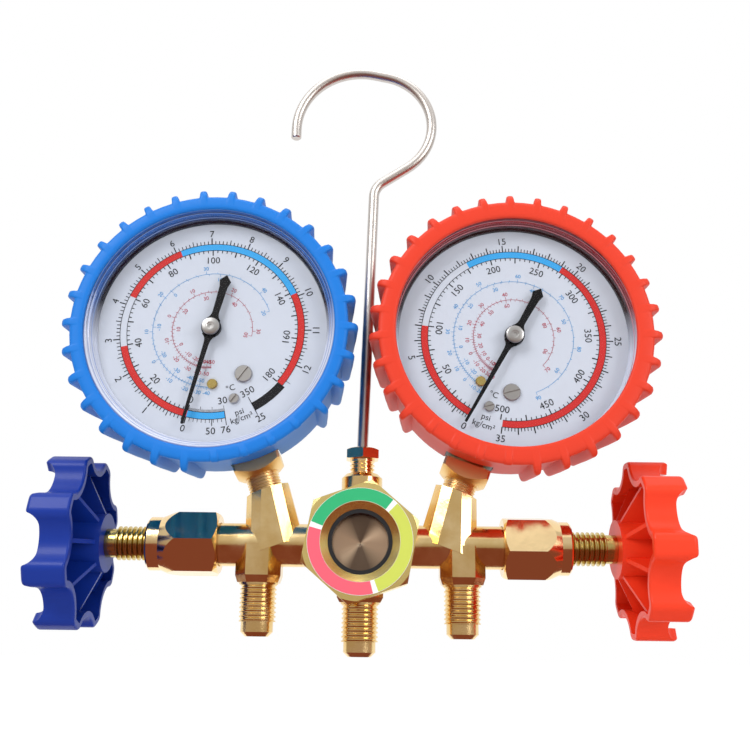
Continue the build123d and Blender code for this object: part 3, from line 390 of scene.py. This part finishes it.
class Print:
    """Flat ink on a face that looks at the viewer, gathered in one mesh for each ink."""

    def __init__(self, centre, forward):
        self.centre = centre
        self.forward = forward
        self.points = {}
        self.faces = {}

    def quad(self, ink, corners):
        """Four corner points as (radius, angle in degrees)."""
        points = self.points.setdefault(ink, [])
        start = len(points)
        points += [on_face(self.centre, radius, angle, self.forward) for radius, angle in corners]
        self.faces.setdefault(ink, []).append(tuple(range(start, start + 4)))

    def band(self, ink, inner, outer, first, last):
        """Ring sector between two angles, counted clockwise from first to last."""
        steps = max(1, round(abs(first - last) / 2))
        for step in range(steps):
            near = first + (last - first) * step / steps
            far = first + (last - first) * (step + 1) / steps
            self.quad(ink, [(inner, near), (outer, near), (outer, far), (inner, far)])

    def tick(self, ink, angle, inner, outer, width):
        """Short radial line."""
        wide_in = math.degrees(width / 2 / inner)
        wide_out = math.degrees(width / 2 / outer)
        corners = [(inner, angle + wide_in), (outer, angle + wide_out), (outer, angle - wide_out)]
        self.quad(ink, corners + [(inner, angle - wide_in)])

    def words(self, ink, text, radius, angle, height, rotation):
        """Text centred on a point, turned by a rotation in degrees from upright."""
        curve = bpy.data.curves.new("words", "FONT")
        curve.body = text
        curve.size = height / cap_share
        curve.align_x = "CENTER"
        curve.align_y = "CENTER"
        curve.resolution_u = 3
        typed = bpy.data.objects.new("words", curve)
        mesh = bpy.data.meshes.new_from_object(typed)
        bpy.data.objects.remove(typed)
        bpy.data.curves.remove(curve)
        at = on_face(self.centre, radius, angle, self.forward)
        turn = math.radians(rotation)
        across = Vector((math.cos(turn), 0, math.sin(turn)))
        upward = Vector((-math.sin(turn), 0, math.cos(turn)))
        heights = [point.co.y for point in mesh.vertices]
        middle = (min(heights) + max(heights)) / 2
        points = self.points.setdefault(ink, [])
        start = len(points)
        points += [at + across * point.co.x + upward * (point.co.y - middle) for point in mesh.vertices]
        for face in mesh.polygons:
            self.faces.setdefault(ink, []).append(tuple(start + index for index in face.vertices))
        bpy.data.meshes.remove(mesh)

    def finish(self, name, body, slot):
        """Put each ink in the scene as a piece of its own."""
        for ink in self.points:
            mesh = mesh_of(f"{name}_{ink}_ink", self.points[ink], self.faces[ink])
            add_piece(mesh.name, mesh, body, inks[ink])


cap_share = 0.72  # height of a capital letter for each unit of text size
ink_lift = 0.04

# Dial scales: angles are in degrees, counted from +X as the viewer sees it

band_in = 26.6
band_out = 28.75
ring_line = 0.16
tick_inner_long = 24.85
tick_inner_short = 25.7
tick_outer_long = 30.85
tick_outer_short = 29.85
tick_outer_mid = 30.4
tick_wide = 0.34
tick_thin = 0.24
number_outer_r = 32.35
number_inner_r = 23.2
number_height = 2.2
unit_height = 1.9
arc_line = 0.12
arc_tick_width = 0.11
arc_tick_long = 1.0
arc_tick_short = 0.55
arc_number_out = 1.9
arc_number_height = 1.25
red_arc_r = 12.5
blue_arc_r = 18.6
psi_per_unit = 14.223
bar_to_psi = 14.504
air_bar = 1.013
freezing = 273.15

# Boiling pressure at 0 degrees, in bar, and the slope of its logarithm, in kelvins
refrigerants = {
    "red_outer": (4.98, 2402.0),
    "red_inner": (3.09, 2424.0),
    "blue_outer": (2.93, 2650.0),
    "blue_inner": (6.04, 2395.0),
}


def boiling_psi(kind, degrees_c):
    """Gauge pressure at which a refrigerant boils."""
    at_zero, slope = refrigerants[kind]
    bar = at_zero * math.exp(slope * (1 / freezing - 1 / (freezing + degrees_c)))
    return (bar - air_bar) * bar_to_psi


class Dial:
    """The printed scales of one gauge."""

    def __init__(self, name, zero, per_unit, upright_from, upright_to):
        self.name = name
        self.zero = zero
        self.per_unit = per_unit
        self.upright_from = upright_from
        self.upright_to = upright_to
        self.under = Print(gauge_centre[name], dial_front[name] + ink_lift)
        self.over = Print(gauge_centre[name], dial_front[name] + 2 * ink_lift)

    def at(self, pressure):
        """Angle of a pressure in kg per square cm."""
        return self.zero - self.per_unit * pressure

    def at_psi(self, pressure):
        """Angle of a pressure in psi."""
        return self.at(pressure / psi_per_unit)

    def number(self, ink, text, radius, angle, height):
        """Number that stands outward in the upper part of the dial and inward in the lower part."""
        outward = self.upright_from <= angle <= self.upright_to
        self.over.words(ink, text, radius, angle, height, angle - 90 if outward else angle + 90)

    def rings(self, first, last):
        """Thin black lines along both edges of the coloured band."""
        for radius in (band_in, band_out):
            self.over.band("black", radius - ring_line / 2, radius + ring_line / 2, first, last)

    def outer_ticks(self, units, per_mark, long_every, mid_every):
        """Ticks outside the band, with per_mark of them in each unit."""
        for mark in range(units * per_mark + 1):
            long = mark % long_every == 0
            reach = tick_outer_mid if mark % mid_every == 0 else tick_outer_short
            reach = tick_outer_long if long else reach
            width = tick_wide if long else tick_thin
            self.over.tick("black", self.at(mark / per_mark), band_out, reach, width)

    def inner_ticks(self, last_psi, step, long_every):
        """Ticks inside the band."""
        for mark in range(last_psi // step + 1):
            long = mark % long_every == 0
            self.over.tick(
                "black", self.at_psi(mark * step), tick_inner_long if long else tick_inner_short, band_in,
                tick_wide if long else tick_thin
            )

    def temperature_arc(self, ink, radius, kinds, first, spans):
        """Thin arc with a temperature scale on each side."""
        last = min(self.at_psi(boiling_psi(kind, spans[kind][1])) for kind in kinds)
        self.over.band(ink, radius - arc_line / 2, radius + arc_line / 2, first, last)
        for kind, hand in kinds.items():
            coldest, hottest = spans[kind]
            for degrees_c in range(coldest, hottest + 1, 2):
                angle = self.at_psi(boiling_psi(kind, degrees_c))
                if angle > first:
                    continue
                reach = arc_tick_long if degrees_c % 10 == 0 else arc_tick_short
                ends = sorted((radius, radius + hand * reach))
                self.over.tick(ink, angle, ends[0], ends[1], arc_tick_width)
                if degrees_c % 10 == 0:
                    out = radius + hand * arc_number_out
                    self.number(ink, str(degrees_c), out, angle, arc_number_height)

    def finish(self):
        """Put both layers of ink on the gauge."""
        self.under.finish(f"{self.name}_scale_band", "manifold", "dial_print")
        self.over.finish(f"{self.name}_scale", "manifold", "dial_print")


# Low side: angles where its band changes colour and its scale stops, pressures, and line sizes

low_band_turns = (192.0, 157.8, 114.1, 25.8)
low_scale_end = -38.3
low_block_end = -60.4
low_arc_start = 272.0
low_last_mark = 12.5
full_vacuum = -1.033
vacuum_50_cm = -0.68
block_in = 0.3
block_out = 0.9
past_tick = 0.3
past_vacuum = 0.2
hair_tick = 0.15
vacuum_tick = 0.12
block_tick = 0.22
edge_tick = 0.2

low = Dial("low", 257.2, 23.36, -3.0, 200.0)
low.under.band("red", band_in, band_out, low.at(0), low_band_turns[0])
low.under.band("red", band_in, band_out, low_band_turns[1], low_band_turns[2])
low.under.band("blue", band_in, band_out, low_band_turns[2], low_band_turns[3])
low.under.band("red", band_in, band_out, low_band_turns[3], low_scale_end)
low.under.band("black", band_in + block_in, band_out + block_out, low_scale_end, low_block_end)
low.under.band("blue", band_in, band_out, low.at(full_vacuum), low.at(0))
low.rings(low.at(0), low_scale_end)
low.rings(low.at(full_vacuum), low.at(0))
low.outer_ticks(12, 10, 10, 5)
low.over.tick("black", low.at(low_last_mark), band_out, tick_outer_mid, hair_tick)
low.inner_ticks(180, 2, 5)
low.over.tick("black", low_block_end, tick_inner_long, tick_outer_long + past_tick, block_tick)
for pressure in range(13):
    low.number("black", str(pressure), number_outer_r, low.at(pressure), number_height)
for pressure in range(0, 181, 20):
    low.number("black", str(pressure), number_inner_r, low.at_psi(pressure), number_height)
for text, radius, angle in (
    ("350", number_inner_r, -59.2), ("25", number_outer_r, -59.6), ("30", number_inner_r, 281.0),
    ("50", number_outer_r, 272.4), ("76", number_outer_r, 280.6)
):
    low.number("black", text, radius, angle, number_height)
for tenth in range(1, 11):
    low.over.tick("black", low.at(full_vacuum * tenth / 10), band_out, tick_outer_short, hair_tick)
for inch in range(1, 31):
    reach = tick_inner_long if inch % 10 == 0 else tick_inner_short
    low.over.tick("black", low.at(full_vacuum * inch / 30), reach, band_in, vacuum_tick)
low.over.tick("black", low.at(full_vacuum), band_in, tick_outer_long + past_vacuum, edge_tick)
low.over.tick("black", low.at(vacuum_50_cm), band_out, tick_outer_long, edge_tick)
for unit, radius, angle, rotation in (
    ("psi", 28.3, 290.4, 20.4), ("kg/cm²", 30.3, 290.6, 20.6), ("°C", 19.9, 289.6, 19.6)
):
    low.over.words("black", unit, radius, angle, unit_height, rotation)
low.temperature_arc(
    "faint_red", red_arc_r, {"red_outer": 1, "red_inner": -1}, low_arc_start,
    {"red_outer": (-50, 30), "red_inner": (-50, 50)}
)
low.temperature_arc(
    "faint_blue", blue_arc_r, {"blue_outer": 1, "blue_inner": -1}, low_arc_start,
    {"blue_outer": (-50, 42), "blue_inner": (-50, 20)}
)
low.finish()

# High side

high_band_turns = (172.6, 120.1, 55.8)
high_full_scale = 35
high_arc_start = 240.0

high = Dial("high", 240.7, 9.692, -12.0, 165.0)
high.under.band("red", band_in, band_out, high.at(0), high_band_turns[0])
high.under.band("blue", band_in, band_out, high_band_turns[1], high_band_turns[2])
high.under.band("red", band_in, band_out, high_band_turns[2], high.at(high_full_scale))
high.rings(high.at(0), high.at(high_full_scale))
high.outer_ticks(high_full_scale, 5, 5, 5)
high.inner_ticks(500, 5, 5)
for pressure in range(0, high_full_scale + 1, 5):
    high.number("black", str(pressure), number_outer_r, high.at(pressure), number_height)
for pressure in range(50, 501, 50):
    high.number("black", str(pressure), number_inner_r, high.at_psi(pressure), number_height)
for unit, radius, angle, rotation in (
    ("psi", 27.3, 250.5, -19.5), ("kg/cm²", 29.8, 250.6, -19.4), ("°C", 19.4, 250.5, -19.5)
):
    high.over.words("black", unit, radius, angle, unit_height, rotation)
high.temperature_arc(
    "faint_red", red_arc_r, {"red_outer": 1, "red_inner": -1}, high_arc_start,
    {"red_outer": (-40, 70), "red_inner": (-30, 90)}
)
high.temperature_arc(
    "faint_blue", blue_arc_r, {"blue_outer": 1, "blue_inner": -1}, high_arc_start,
    {"blue_outer": (-20, 90), "blue_inner": (-40, 60)}
)
high.finish()


# Sight glass label: three colours with white gaps

label_in = 11.85
label_out = 15.5
gap_half = 3.0
label_arcs = {"green": (162.0, 48.5), "yellow": (48.5, -72.0), "pink": (-72.0, -198.0)}

label = Print(sight_centre, label_front + ink_lift)
for ink, (first, last) in label_arcs.items():
    label.band(f"label_{ink}", label_in, label_out, first - gap_half, last + gap_half)
label.finish("sight_glass_label", "manifold", "label_print")


# Boots: a flat front ring, a wall set back behind it, and lugs that stand on both

boot_lip_r = {"low": 38.4, "high": 36.7}
boot_ring_r = {"low": 42.6, "high": 42.1}
boot_shift = {"low": -0.3, "high": 1.0}
lug_count = {"low": 30, "high": 31}
lug_phase = {"low": -0.2, "high": -2.0}
lug_half = 1.15

# Outline of a lug: places across it by its half width, and the share of its height there
lug_section = [
    (-1.4, 0.0), (-1.15, 0.04), (-1.0, 0.32), (-0.9, 0.7), (-0.75, 0.9), (-0.45, 0.98), (0.0, 1.0)
]
lug_section += [(-offset, share) for offset, share in reversed(lug_section[:-1])]
short_lug_window = 24.0

# Outline points by how far they stand outside the lip, or outside the front ring's edge
lip_points = [(0.0, 22.55), (0.0, 23.0), (0.12, 23.35), (0.5, 23.58), (1.4, 23.66)]
ring_points = [
    (-1.5, 23.62), (-0.75, 23.48), (-0.2, 23.1), (0.0, 22.4), (-0.05, 21.3), (-0.35, 20.6), (-1.0, 20.2),
    (-1.25, 19.2), (-1.3, 11.0), (-1.4, 5.0), (-1.6, -1.0), (-1.75, -3.6), (-2.1, -4.8), (-2.8, -5.6),
    (-3.8, -6.0)
]
back_points = [(35.0, -6.0), (31.0, -6.0), (31.0, -4.1), (39.5, -4.1), (39.5, 22.55)]
lug_points = {
    0: (-1.2, 23.68), 1: (-0.1, 23.66), 2: (1.3, 23.3), 3: (2.35, 22.5), 4: (2.85, 21.4), 5: (2.95, 20.4),
    6: (2.9, 19.4), 7: (2.75, 17.6), 8: (2.2, 10.6), 9: (1.6, 4.6), 10: (1.1, -1.0), 11: (0.9, -3.0),
    12: (0.4, -4.4), 13: (-0.4, -5.3), 14: (-1.9, -5.9)
}
short_lug_points = {0: (-1.4, 24.0), 1: (-0.6, 23.95), 2: (0.1, 23.4), 3: (0.3, 22.4), 4: (0.1, 21.3)}

# Square hole for the socket, by its half width, its length and how far out its middle is
neck_hole_half = 7.7
neck_hole_length = 20
neck_hole_out = 46


def boot_mesh(name):
    """Ring with lugs, before its neck hole is cut."""
    side = SIDES[name]
    centre = (gauge_centre[name][0], gauge_centre[name][1] + boot_shift[name])
    ring_r = boot_ring_r[name]
    body = [(boot_lip_r[name] + out, forward) for out, forward in lip_points]
    ring_start = len(body)
    body += [(ring_r + out, forward) for out, forward in ring_points]
    body += back_points
    points = []
    pitch = 360 / lug_count[name]
    stations = []
    for lug in range(lug_count[name]):
        middle = lug_phase[name] + pitch * lug
        from_neck = abs((middle + side * math.degrees(gauge_lean) + 270) % 360 - 180)
        crest = short_lug_points if from_neck < short_lug_window else lug_points
        for offset, share in lug_section:
            stations.append((middle + math.degrees(offset * lug_half / ring_r), share, crest))
        stations.append((middle + pitch / 2, 0.0, crest))
    for angle, share, crest in stations:
        for index, (radius, forward) in enumerate(body):
            if index - ring_start in crest:
                out, crest_forward = crest[index - ring_start]
                radius += (ring_r + out - radius) * share
                forward += (crest_forward - forward) * share
            points.append(on_face(centre, radius, angle, forward))
    mesh = mesh_of(f"{name}_boot_skin", points, ring_faces(len(stations), len(body)))
    made_outward(mesh)
    return mesh


def neck_cutter(name):
    """Square bar along the neck, through the boot's side."""
    centre = gauge_centre[name]
    mesh = bpy.data.meshes.new("cutter")
    shape = bmesh.new()
    bmesh.ops.create_cube(shape, size=1.0)
    size = Vector((2 * neck_hole_half, 2 * neck_hole_half, neck_hole_length)) * MM
    bmesh.ops.scale(shape, vec=size, verts=shape.verts)
    along = Vector((-SIDES[name] * math.sin(gauge_lean), 0, -math.cos(gauge_lean)))
    across = Vector((0, 1, 0))
    turned = Matrix((along.cross(across), across, along)).transposed().to_4x4()
    place = Matrix.Translation((Vector((centre[0], 0, centre[1])) + along * neck_hole_out) * MM)
    shape.transform(place @ turned)
    bmesh.ops.recalc_face_normals(shape, faces=shape.faces)
    shape.to_mesh(mesh)
    shape.free()
    cutter = bpy.data.objects.new("cutter", mesh)
    bpy.context.scene.collection.objects.link(cutter)
    return cutter


def cut_by(mesh, cutter):
    """The mesh less the cutter, which is then removed."""
    whole = bpy.data.objects.new("whole", mesh)
    bpy.context.scene.collection.objects.link(whole)
    cut = whole.modifiers.new("cut", "BOOLEAN")
    cut.object = cutter
    cut.operation = "DIFFERENCE"
    cut.solver = "EXACT"
    bpy.context.view_layer.update()
    graph = bpy.context.evaluated_depsgraph_get()
    result = bpy.data.meshes.new_from_object(whole.evaluated_get(graph))
    bpy.data.objects.remove(whole)
    bpy.data.objects.remove(cutter)
    return result


for name, colour in SIDE_COLOUR.items():
    skin = cut_by(boot_mesh(name), neck_cutter(name))
    smooth_by_angle(skin, degrees=50)
    boot = add_piece(f"{name}_boot_skin", skin, "manifold", materials[f"{colour}_boot"])
    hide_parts(f"{name}_boot")


# Gauge windows: a clear disc, and a stepped opaque skirt painted as clear plastic in front of the boot
# shows, with painted shade and painted highlights

skirt_in = 35.6
skirt_out = 38.6
skirt_profile = [
    (35.65, 16.7), (35.8, 17.6), (36.3, 18.2), (36.45, 19.4), (36.95, 19.9), (37.1, 20.9), (37.6, 21.3),
    (37.75, 22.0), (38.1, 22.3), (39.3, 22.3), (39.3, 16.7)
]
window_profile = [(0.01, 22.5), (36.3, 22.5), (36.5, 22.35), (36.5, 22.0), (0.01, 22.0)]
pale_rim = (0.58, 0.62, 0.74)

# Heights on the gauge where the skirt is all pale and all dark, in shares of its inner radius; the dark
# upper part is painted shade over the case and boot seen through
pale_below = -0.15
dark_above = 0.25

# Colours of the painted light: deep and shade are painted shade, tone the boot's colour seen through in
# shade, glint painted highlight rings, line painted edge lines over the dial's white
skirt_painted_shade_and_glints = {
    "low": {"deep": (0.004, 0.006, 0.018), "shade": (0.006, 0.035, 0.15), "tone": (0.01, 0.10, 0.40),
            "glint": (0.22, 0.35, 0.66), "line": (0.16, 0.23, 0.50)},
    "high": {"deep": (0.014, 0.004, 0.006), "shade": (0.09, 0.006, 0.010), "tone": (0.26, 0.012, 0.018),
             "glint": (0.60, 0.26, 0.30), "line": (0.45, 0.13, 0.20)},
}


def ramp(surface, value, stops):
    """Colour that changes along a value from 0 to 1."""
    made = surface.node("ShaderNodeValToRGB", Fac=value)
    elements = made.color_ramp.elements
    while len(elements) > 1:
        elements.remove(elements[-1])
    elements[0].position = stops[0][0]
    elements[0].color = (*stops[0][1], 1.0)
    for position, colour in stops[1:]:
        elements.new(position).color = (*colour, 1.0)
    return made.outputs["Color"]


def clear_skirt(name):
    """Opaque skirt painted as clear plastic looks: painted shade and the boot's colour in its upper part,
    the dial's white in its lower part, with painted highlight and edge lines in rings.
    """
    surface = Surface(f"{name}_clear_skirt", pale_rim, 0.16)
    surface.set("Coat Weight", 0.35)
    surface.set("Coat Roughness", 0.05)
    apart = surface.node("ShaderNodeSeparateXYZ", Vector=surface.offset_from(gauge_centre[name]))
    flat = surface.node("ShaderNodeCombineXYZ", X=apart.outputs["X"], Z=apart.outputs["Z"])
    length = surface.vector_math("LENGTH", flat.outputs["Vector"])
    radius = surface.spread(length, skirt_in * MM, skirt_out * MM)
    # Painted shade by height: the dark ramp high on the gauge, the pale ramp low down
    upper = surface.spread(apart.outputs["Z"], pale_below * skirt_in * MM, dark_above * skirt_in * MM)
    shades = skirt_painted_shade_and_glints[name]
    # Upper part: painted shade and the boot's colour, with painted highlight rings at the plastic's steps
    above = ramp(surface, radius, [
        (0.0, shades["deep"]), (0.22, shades["deep"]), (0.3, shades["shade"]), (0.36, shades["glint"]),
        (0.4, shades["shade"]), (0.5, shades["tone"]), (0.58, shades["tone"]), (0.62, shades["glint"]),
        (0.66, shades["shade"]), (0.78, shades["tone"]), (0.86, shades["glint"]), (0.92, shades["shade"])
    ])
    # Lower part: the dial's white seen through, with painted edge lines at the plastic's steps
    below = ramp(surface, radius, [
        (0.0, pale_rim), (0.3, pale_rim), (0.35, shades["line"]), (0.4, pale_rim), (0.58, pale_rim),
        (0.63, shades["line"]), (0.67, pale_rim), (0.86, pale_rim), (0.93, shades["line"])
    ])
    surface.feed(surface.shader.inputs["Base Color"], surface.blend(upper, below, above))
    return surface.material


for name in SIDES:
    centre = gauge_centre[name]
    mesh = lathe(f"{name}_window_skirt", centre, skirt_profile)
    smooth_by_angle(mesh, degrees=25)
    add_piece(mesh.name, mesh, "manifold", clear_skirt(name))
    mesh = lathe(f"{name}_window_disc", centre, window_profile)
    smooth_by_angle(mesh, degrees=25)
    disc = add_piece(mesh.name, mesh, "manifold", materials["window"])
    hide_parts(f"{name}_lens")


# Pointers: a thin blade and a diamond tail that flow into a round boss, and a silver hub

pointer_zero = {"low": 257.0, "high": 240.6}
pointer_back = 2.1
pointer_plate_t = 0.35
pointer_edge = 0.08
pointer_boss_r = 3.05
boss_bottom = 1.3
boss_top = 3.0
boss_edge = 0.25
boss_edge_in = 0.2
small_steps = 64

# Half of the pointer's outline, by the distance along it and its half width there
pointer_half = [
    (-17.8, 0.0), (-15.7, 1.85), (-13.7, 1.3), (-9.0, 1.15), (-5.2, 1.05), (-4.2, 1.15), (-3.4, 1.5),
    (-2.7, 2.1), (2.7, 2.1), (3.3, 1.45), (4.0, 1.05), (5.2, 0.85), (16.0, 0.66), (31.4, 0.42), (31.5, 0.0)
]

# Cap on the pointer, by its radius and its height over the dial
hub_profile = [
    (0.01, 3.0), (2.7, 3.0), (2.75, 3.15), (2.75, 3.6), (2.6, 3.85), (2.3, 3.97), (1.2, 4.0), (1.05, 3.9),
    (0.55, 3.88), (0.45, 3.75), (0.01, 3.72)
]


def pointer_mesh(name):
    """Flat outline with thickness, at the zero mark."""
    centre = gauge_centre[name]
    forward = dial_front[name] + pointer_back
    turn = math.radians(pointer_zero[name])
    along = Vector((math.cos(turn), 0, math.sin(turn)))
    across = Vector((-math.sin(turn), 0, math.cos(turn)))
    origin = Vector((centre[0], -forward, centre[1]))
    outline = pointer_half + [(reach, -half) for reach, half in reversed(pointer_half[1:-1])]
    count = len(outline)
    points = [origin + along * reach + across * wide for reach, wide in outline]
    points += [point + Vector((0, -pointer_plate_t, 0)) for point in points]
    faces = [tuple(range(count)), tuple(range(2 * count - 1, count - 1, -1))]
    faces += [(step, (step + 1) % count, count + (step + 1) % count, count + step) for step in range(count)]
    mesh = mesh_of(f"{name}_pointer_plate", points, faces)
    made_outward(mesh)
    return mesh


for name in SIDES:
    centre = gauge_centre[name]
    front = dial_front[name]
    mesh = pointer_mesh(name)
    plate = add_piece(mesh.name, mesh, f"{name}_pointer", materials["black_paint"])
    edge = plate.modifiers.new("edge", "BEVEL")
    edge.width = pointer_edge * MM
    edge.segments = 2
    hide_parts(f"{name}_pointer")
    boss_profile = [
        (0.01, front + boss_bottom), (pointer_boss_r, front + boss_bottom),
        (pointer_boss_r, front + boss_top - boss_edge), (pointer_boss_r - boss_edge_in, front + boss_top),
        (0.01, front + boss_top)
    ]
    mesh = lathe(f"{name}_pointer_boss", centre, boss_profile, small_steps)
    smooth_by_angle(mesh, degrees=30)
    add_piece(mesh.name, mesh, f"{name}_pointer", materials["black_paint"])
    cap_profile = [(radius, front + out) for radius, out in hub_profile]
    mesh = lathe(f"{name}_hub_cap", centre, cap_profile, small_steps)
    smooth_by_angle(mesh, degrees=30)
    hub = add_piece(mesh.name, mesh, f"{name}_pointer", materials["steel"])
    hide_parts(f"{name}_pointer_hub")


# Shading of the CAD pieces that stay

casting_smooth = 20
machined_smooth = 28
for node in frame["nodes"].values():
    smooth_by_angle(node.data, casting_smooth if node.name == "manifold_body" else machined_smooth)


# Stage, lamps and camera

stage_size = 6000.0
floor_drop = 60.0
floor_glow = 0.84
floor_shade = 0.34
ambient = 0.55
middle_rise = 50
middle = Vector((centre_x, 0, axis_z + middle_rise))


def seen_by_eye(tree):
    """1 for the rays that should see a white studio: camera, glossy and transmission rays."""
    paths = tree.nodes.new("ShaderNodeLightPath")
    seen = paths.outputs["Is Camera Ray"]
    for kind in ("Is Glossy Ray", "Is Transmission Ray"):
        either = tree.nodes.new("ShaderNodeMath")
        either.operation = "MAXIMUM"
        tree.links.new(seen, either.inputs[0])
        tree.links.new(paths.outputs[kind], either.inputs[1])
        seen = either.outputs[0]
    return seen


def white_floor():
    """Floor that shows as white and keeps the object's shadow."""
    surface = Surface("floor_white", (0.9, 0.9, 0.9), 0.9)
    tree = surface.tree
    glow = surface.node("ShaderNodeEmission", Color=(1.0, 1.0, 1.0, 1.0), Strength=floor_glow)
    shade = surface.node("ShaderNodeBsdfDiffuse", Color=(floor_shade, floor_shade, floor_shade, 1.0))
    both = surface.node("ShaderNodeAddShader")
    tree.links.new(glow.outputs[0], both.inputs[0])
    tree.links.new(shade.outputs[0], both.inputs[1])
    chosen = surface.node("ShaderNodeMixShader")
    tree.links.new(seen_by_eye(tree), chosen.inputs[0])
    tree.links.new(surface.shader.outputs[0], chosen.inputs[1])
    tree.links.new(both.outputs[0], chosen.inputs[2])
    surface.show(chosen.outputs[0])
    return surface.material


def add_stage(name, points, faces, material):
    """A sheet that isn't part of the object."""
    mesh = mesh_of(name, points, faces)
    mesh.materials.append(material)
    sheet = bpy.data.objects.new(name, mesh)
    bpy.context.scene.collection.objects.link(sheet)
    return sheet


floor_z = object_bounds()[0][2] / MM - floor_drop
half = stage_size / 2
corners = ((-half, -half), (half, -half), (half, half), (-half, half))
add_stage("floor", [(x, y, floor_z) for x, y in corners], [(0, 1, 2, 3)], white_floor())

# Cards that only reflections see: a grey one in front, and a brown one over the floor

room_r = 1000.0
room_low = -160.0
room_high = 900.0
room_half_turn = 105
room_steps = 24
room_shades = ((0.46, 0.40, 0.34), (0.64, 0.64, 0.64))
shade_low = -60
shade_high = 320
table_near = -980.0
table_far = 60.0
table_lift = 4
table_shade = (0.22, 0.07, 0.05)


def add_card(name, points, faces, lower, upper):
    """Card that only reflections see; its shade runs with height from the lower to the upper."""
    surface = Surface(name, lower, 1.0)
    height = surface.node("ShaderNodeSeparateXYZ", Vector=surface.place()).outputs["Z"]
    share = surface.spread(height, (middle[2] + shade_low) * MM, (middle[2] + shade_high) * MM)
    glow = surface.node("ShaderNodeEmission", Color=surface.blend(share, lower, upper), Strength=1.0)
    surface.show(glow.outputs[0])
    card = add_stage(name, points, faces, surface.material)
    for unseen in ("visible_camera", "visible_diffuse", "visible_transmission", "visible_shadow"):
        setattr(card, unseen, False)


columns = []
for step in range(room_steps + 1):
    turn = math.radians(-room_half_turn + 2 * room_half_turn * step / room_steps)
    across, forward = room_r * math.sin(turn), room_r * math.cos(turn)
    columns += [(centre_x + across, -forward, middle[2] + level) for level in (room_low, room_high)]
panels = [(2 * step, 2 * step + 1, 2 * step + 3, 2 * step + 2) for step in range(room_steps)]
add_card("room_card", columns, panels, *room_shades)
corners = ((-room_r, table_near), (room_r, table_near), (room_r, table_far), (-room_r, table_far))
table = [(centre_x + across, reach, floor_z + table_lift) for across, reach in corners]
add_card("table_card", table, [(0, 1, 2, 3)], table_shade, table_shade)


def add_lamp(name, place, size, watts):
    """Soft rectangular lamp that looks at the object's middle."""
    data = bpy.data.lights.new(name, "AREA")
    data.shape = "RECTANGLE"
    data.size, data.size_y = size[0] * MM, size[1] * MM
    data.energy = watts
    lamp = bpy.data.objects.new(name, data)
    bpy.context.scene.collection.objects.link(lamp)
    lamp.location = place * MM
    lamp.rotation_euler = (middle - place).to_track_quat("-Z", "Y").to_euler()


add_lamp("key_lamp", middle + Vector((-500, -700, 600)), size=(420, 420), watts=5.5)
add_lamp("fill_lamp", middle + Vector((650, -600, 250)), size=(360, 420), watts=2.6)
add_lamp("top_lamp", middle + Vector((0, -100, 900)), size=(700, 500), watts=2.5)

world = bpy.data.worlds.new("studio")
bpy.context.scene.world = world
world.use_nodes = True
sky = world.node_tree
strength = sky.nodes.new("ShaderNodeMapRange")
sky.links.new(seen_by_eye(sky), strength.inputs["Value"])
strength.inputs["To Min"].default_value = ambient
background = sky.nodes["Background"]
background.inputs["Color"].default_value = (1.0, 1.0, 1.0, 1.0)
sky.links.new(strength.outputs["Result"], background.inputs["Strength"])

# Camera fitted to the photograph, from the manifold's centre

camera_place = Vector((5.4, -291.63, -28.11))
camera_pitch = math.radians(15.94)
camera_yaw = math.radians(-0.35)
camera_roll = math.radians(0.78)
focal_pixels = 931.04
frame_pixels = 750
sensor = 36.0

camera_data = bpy.data.cameras.new("camera")
camera_data.sensor_width = sensor
camera_data.lens = focal_pixels / frame_pixels * sensor
camera_data.clip_start = 0.01
camera_data.clip_end = 50
camera = bpy.data.objects.new("camera", camera_data)
bpy.context.scene.collection.objects.link(camera)
ahead = Vector((
    math.sin(camera_yaw) * math.cos(camera_pitch),
    math.cos(camera_yaw) * math.cos(camera_pitch),
    math.sin(camera_pitch)
))
right = Vector((math.cos(camera_yaw), -math.sin(camera_yaw), 0))
upward = right.cross(ahead)
rolled_right = math.cos(camera_roll) * right + math.sin(camera_roll) * upward
rolled_up = math.cos(camera_roll) * upward - math.sin(camera_roll) * right
turned = Matrix((rolled_right, rolled_up, -ahead)).transposed().to_4x4()
camera.matrix_world = Matrix.Translation((camera_place + Vector((centre_x, 0, axis_z))) * MM) @ turned
bpy.context.scene.camera = camera
bpy.context.scene.view_settings.view_transform = "Standard"
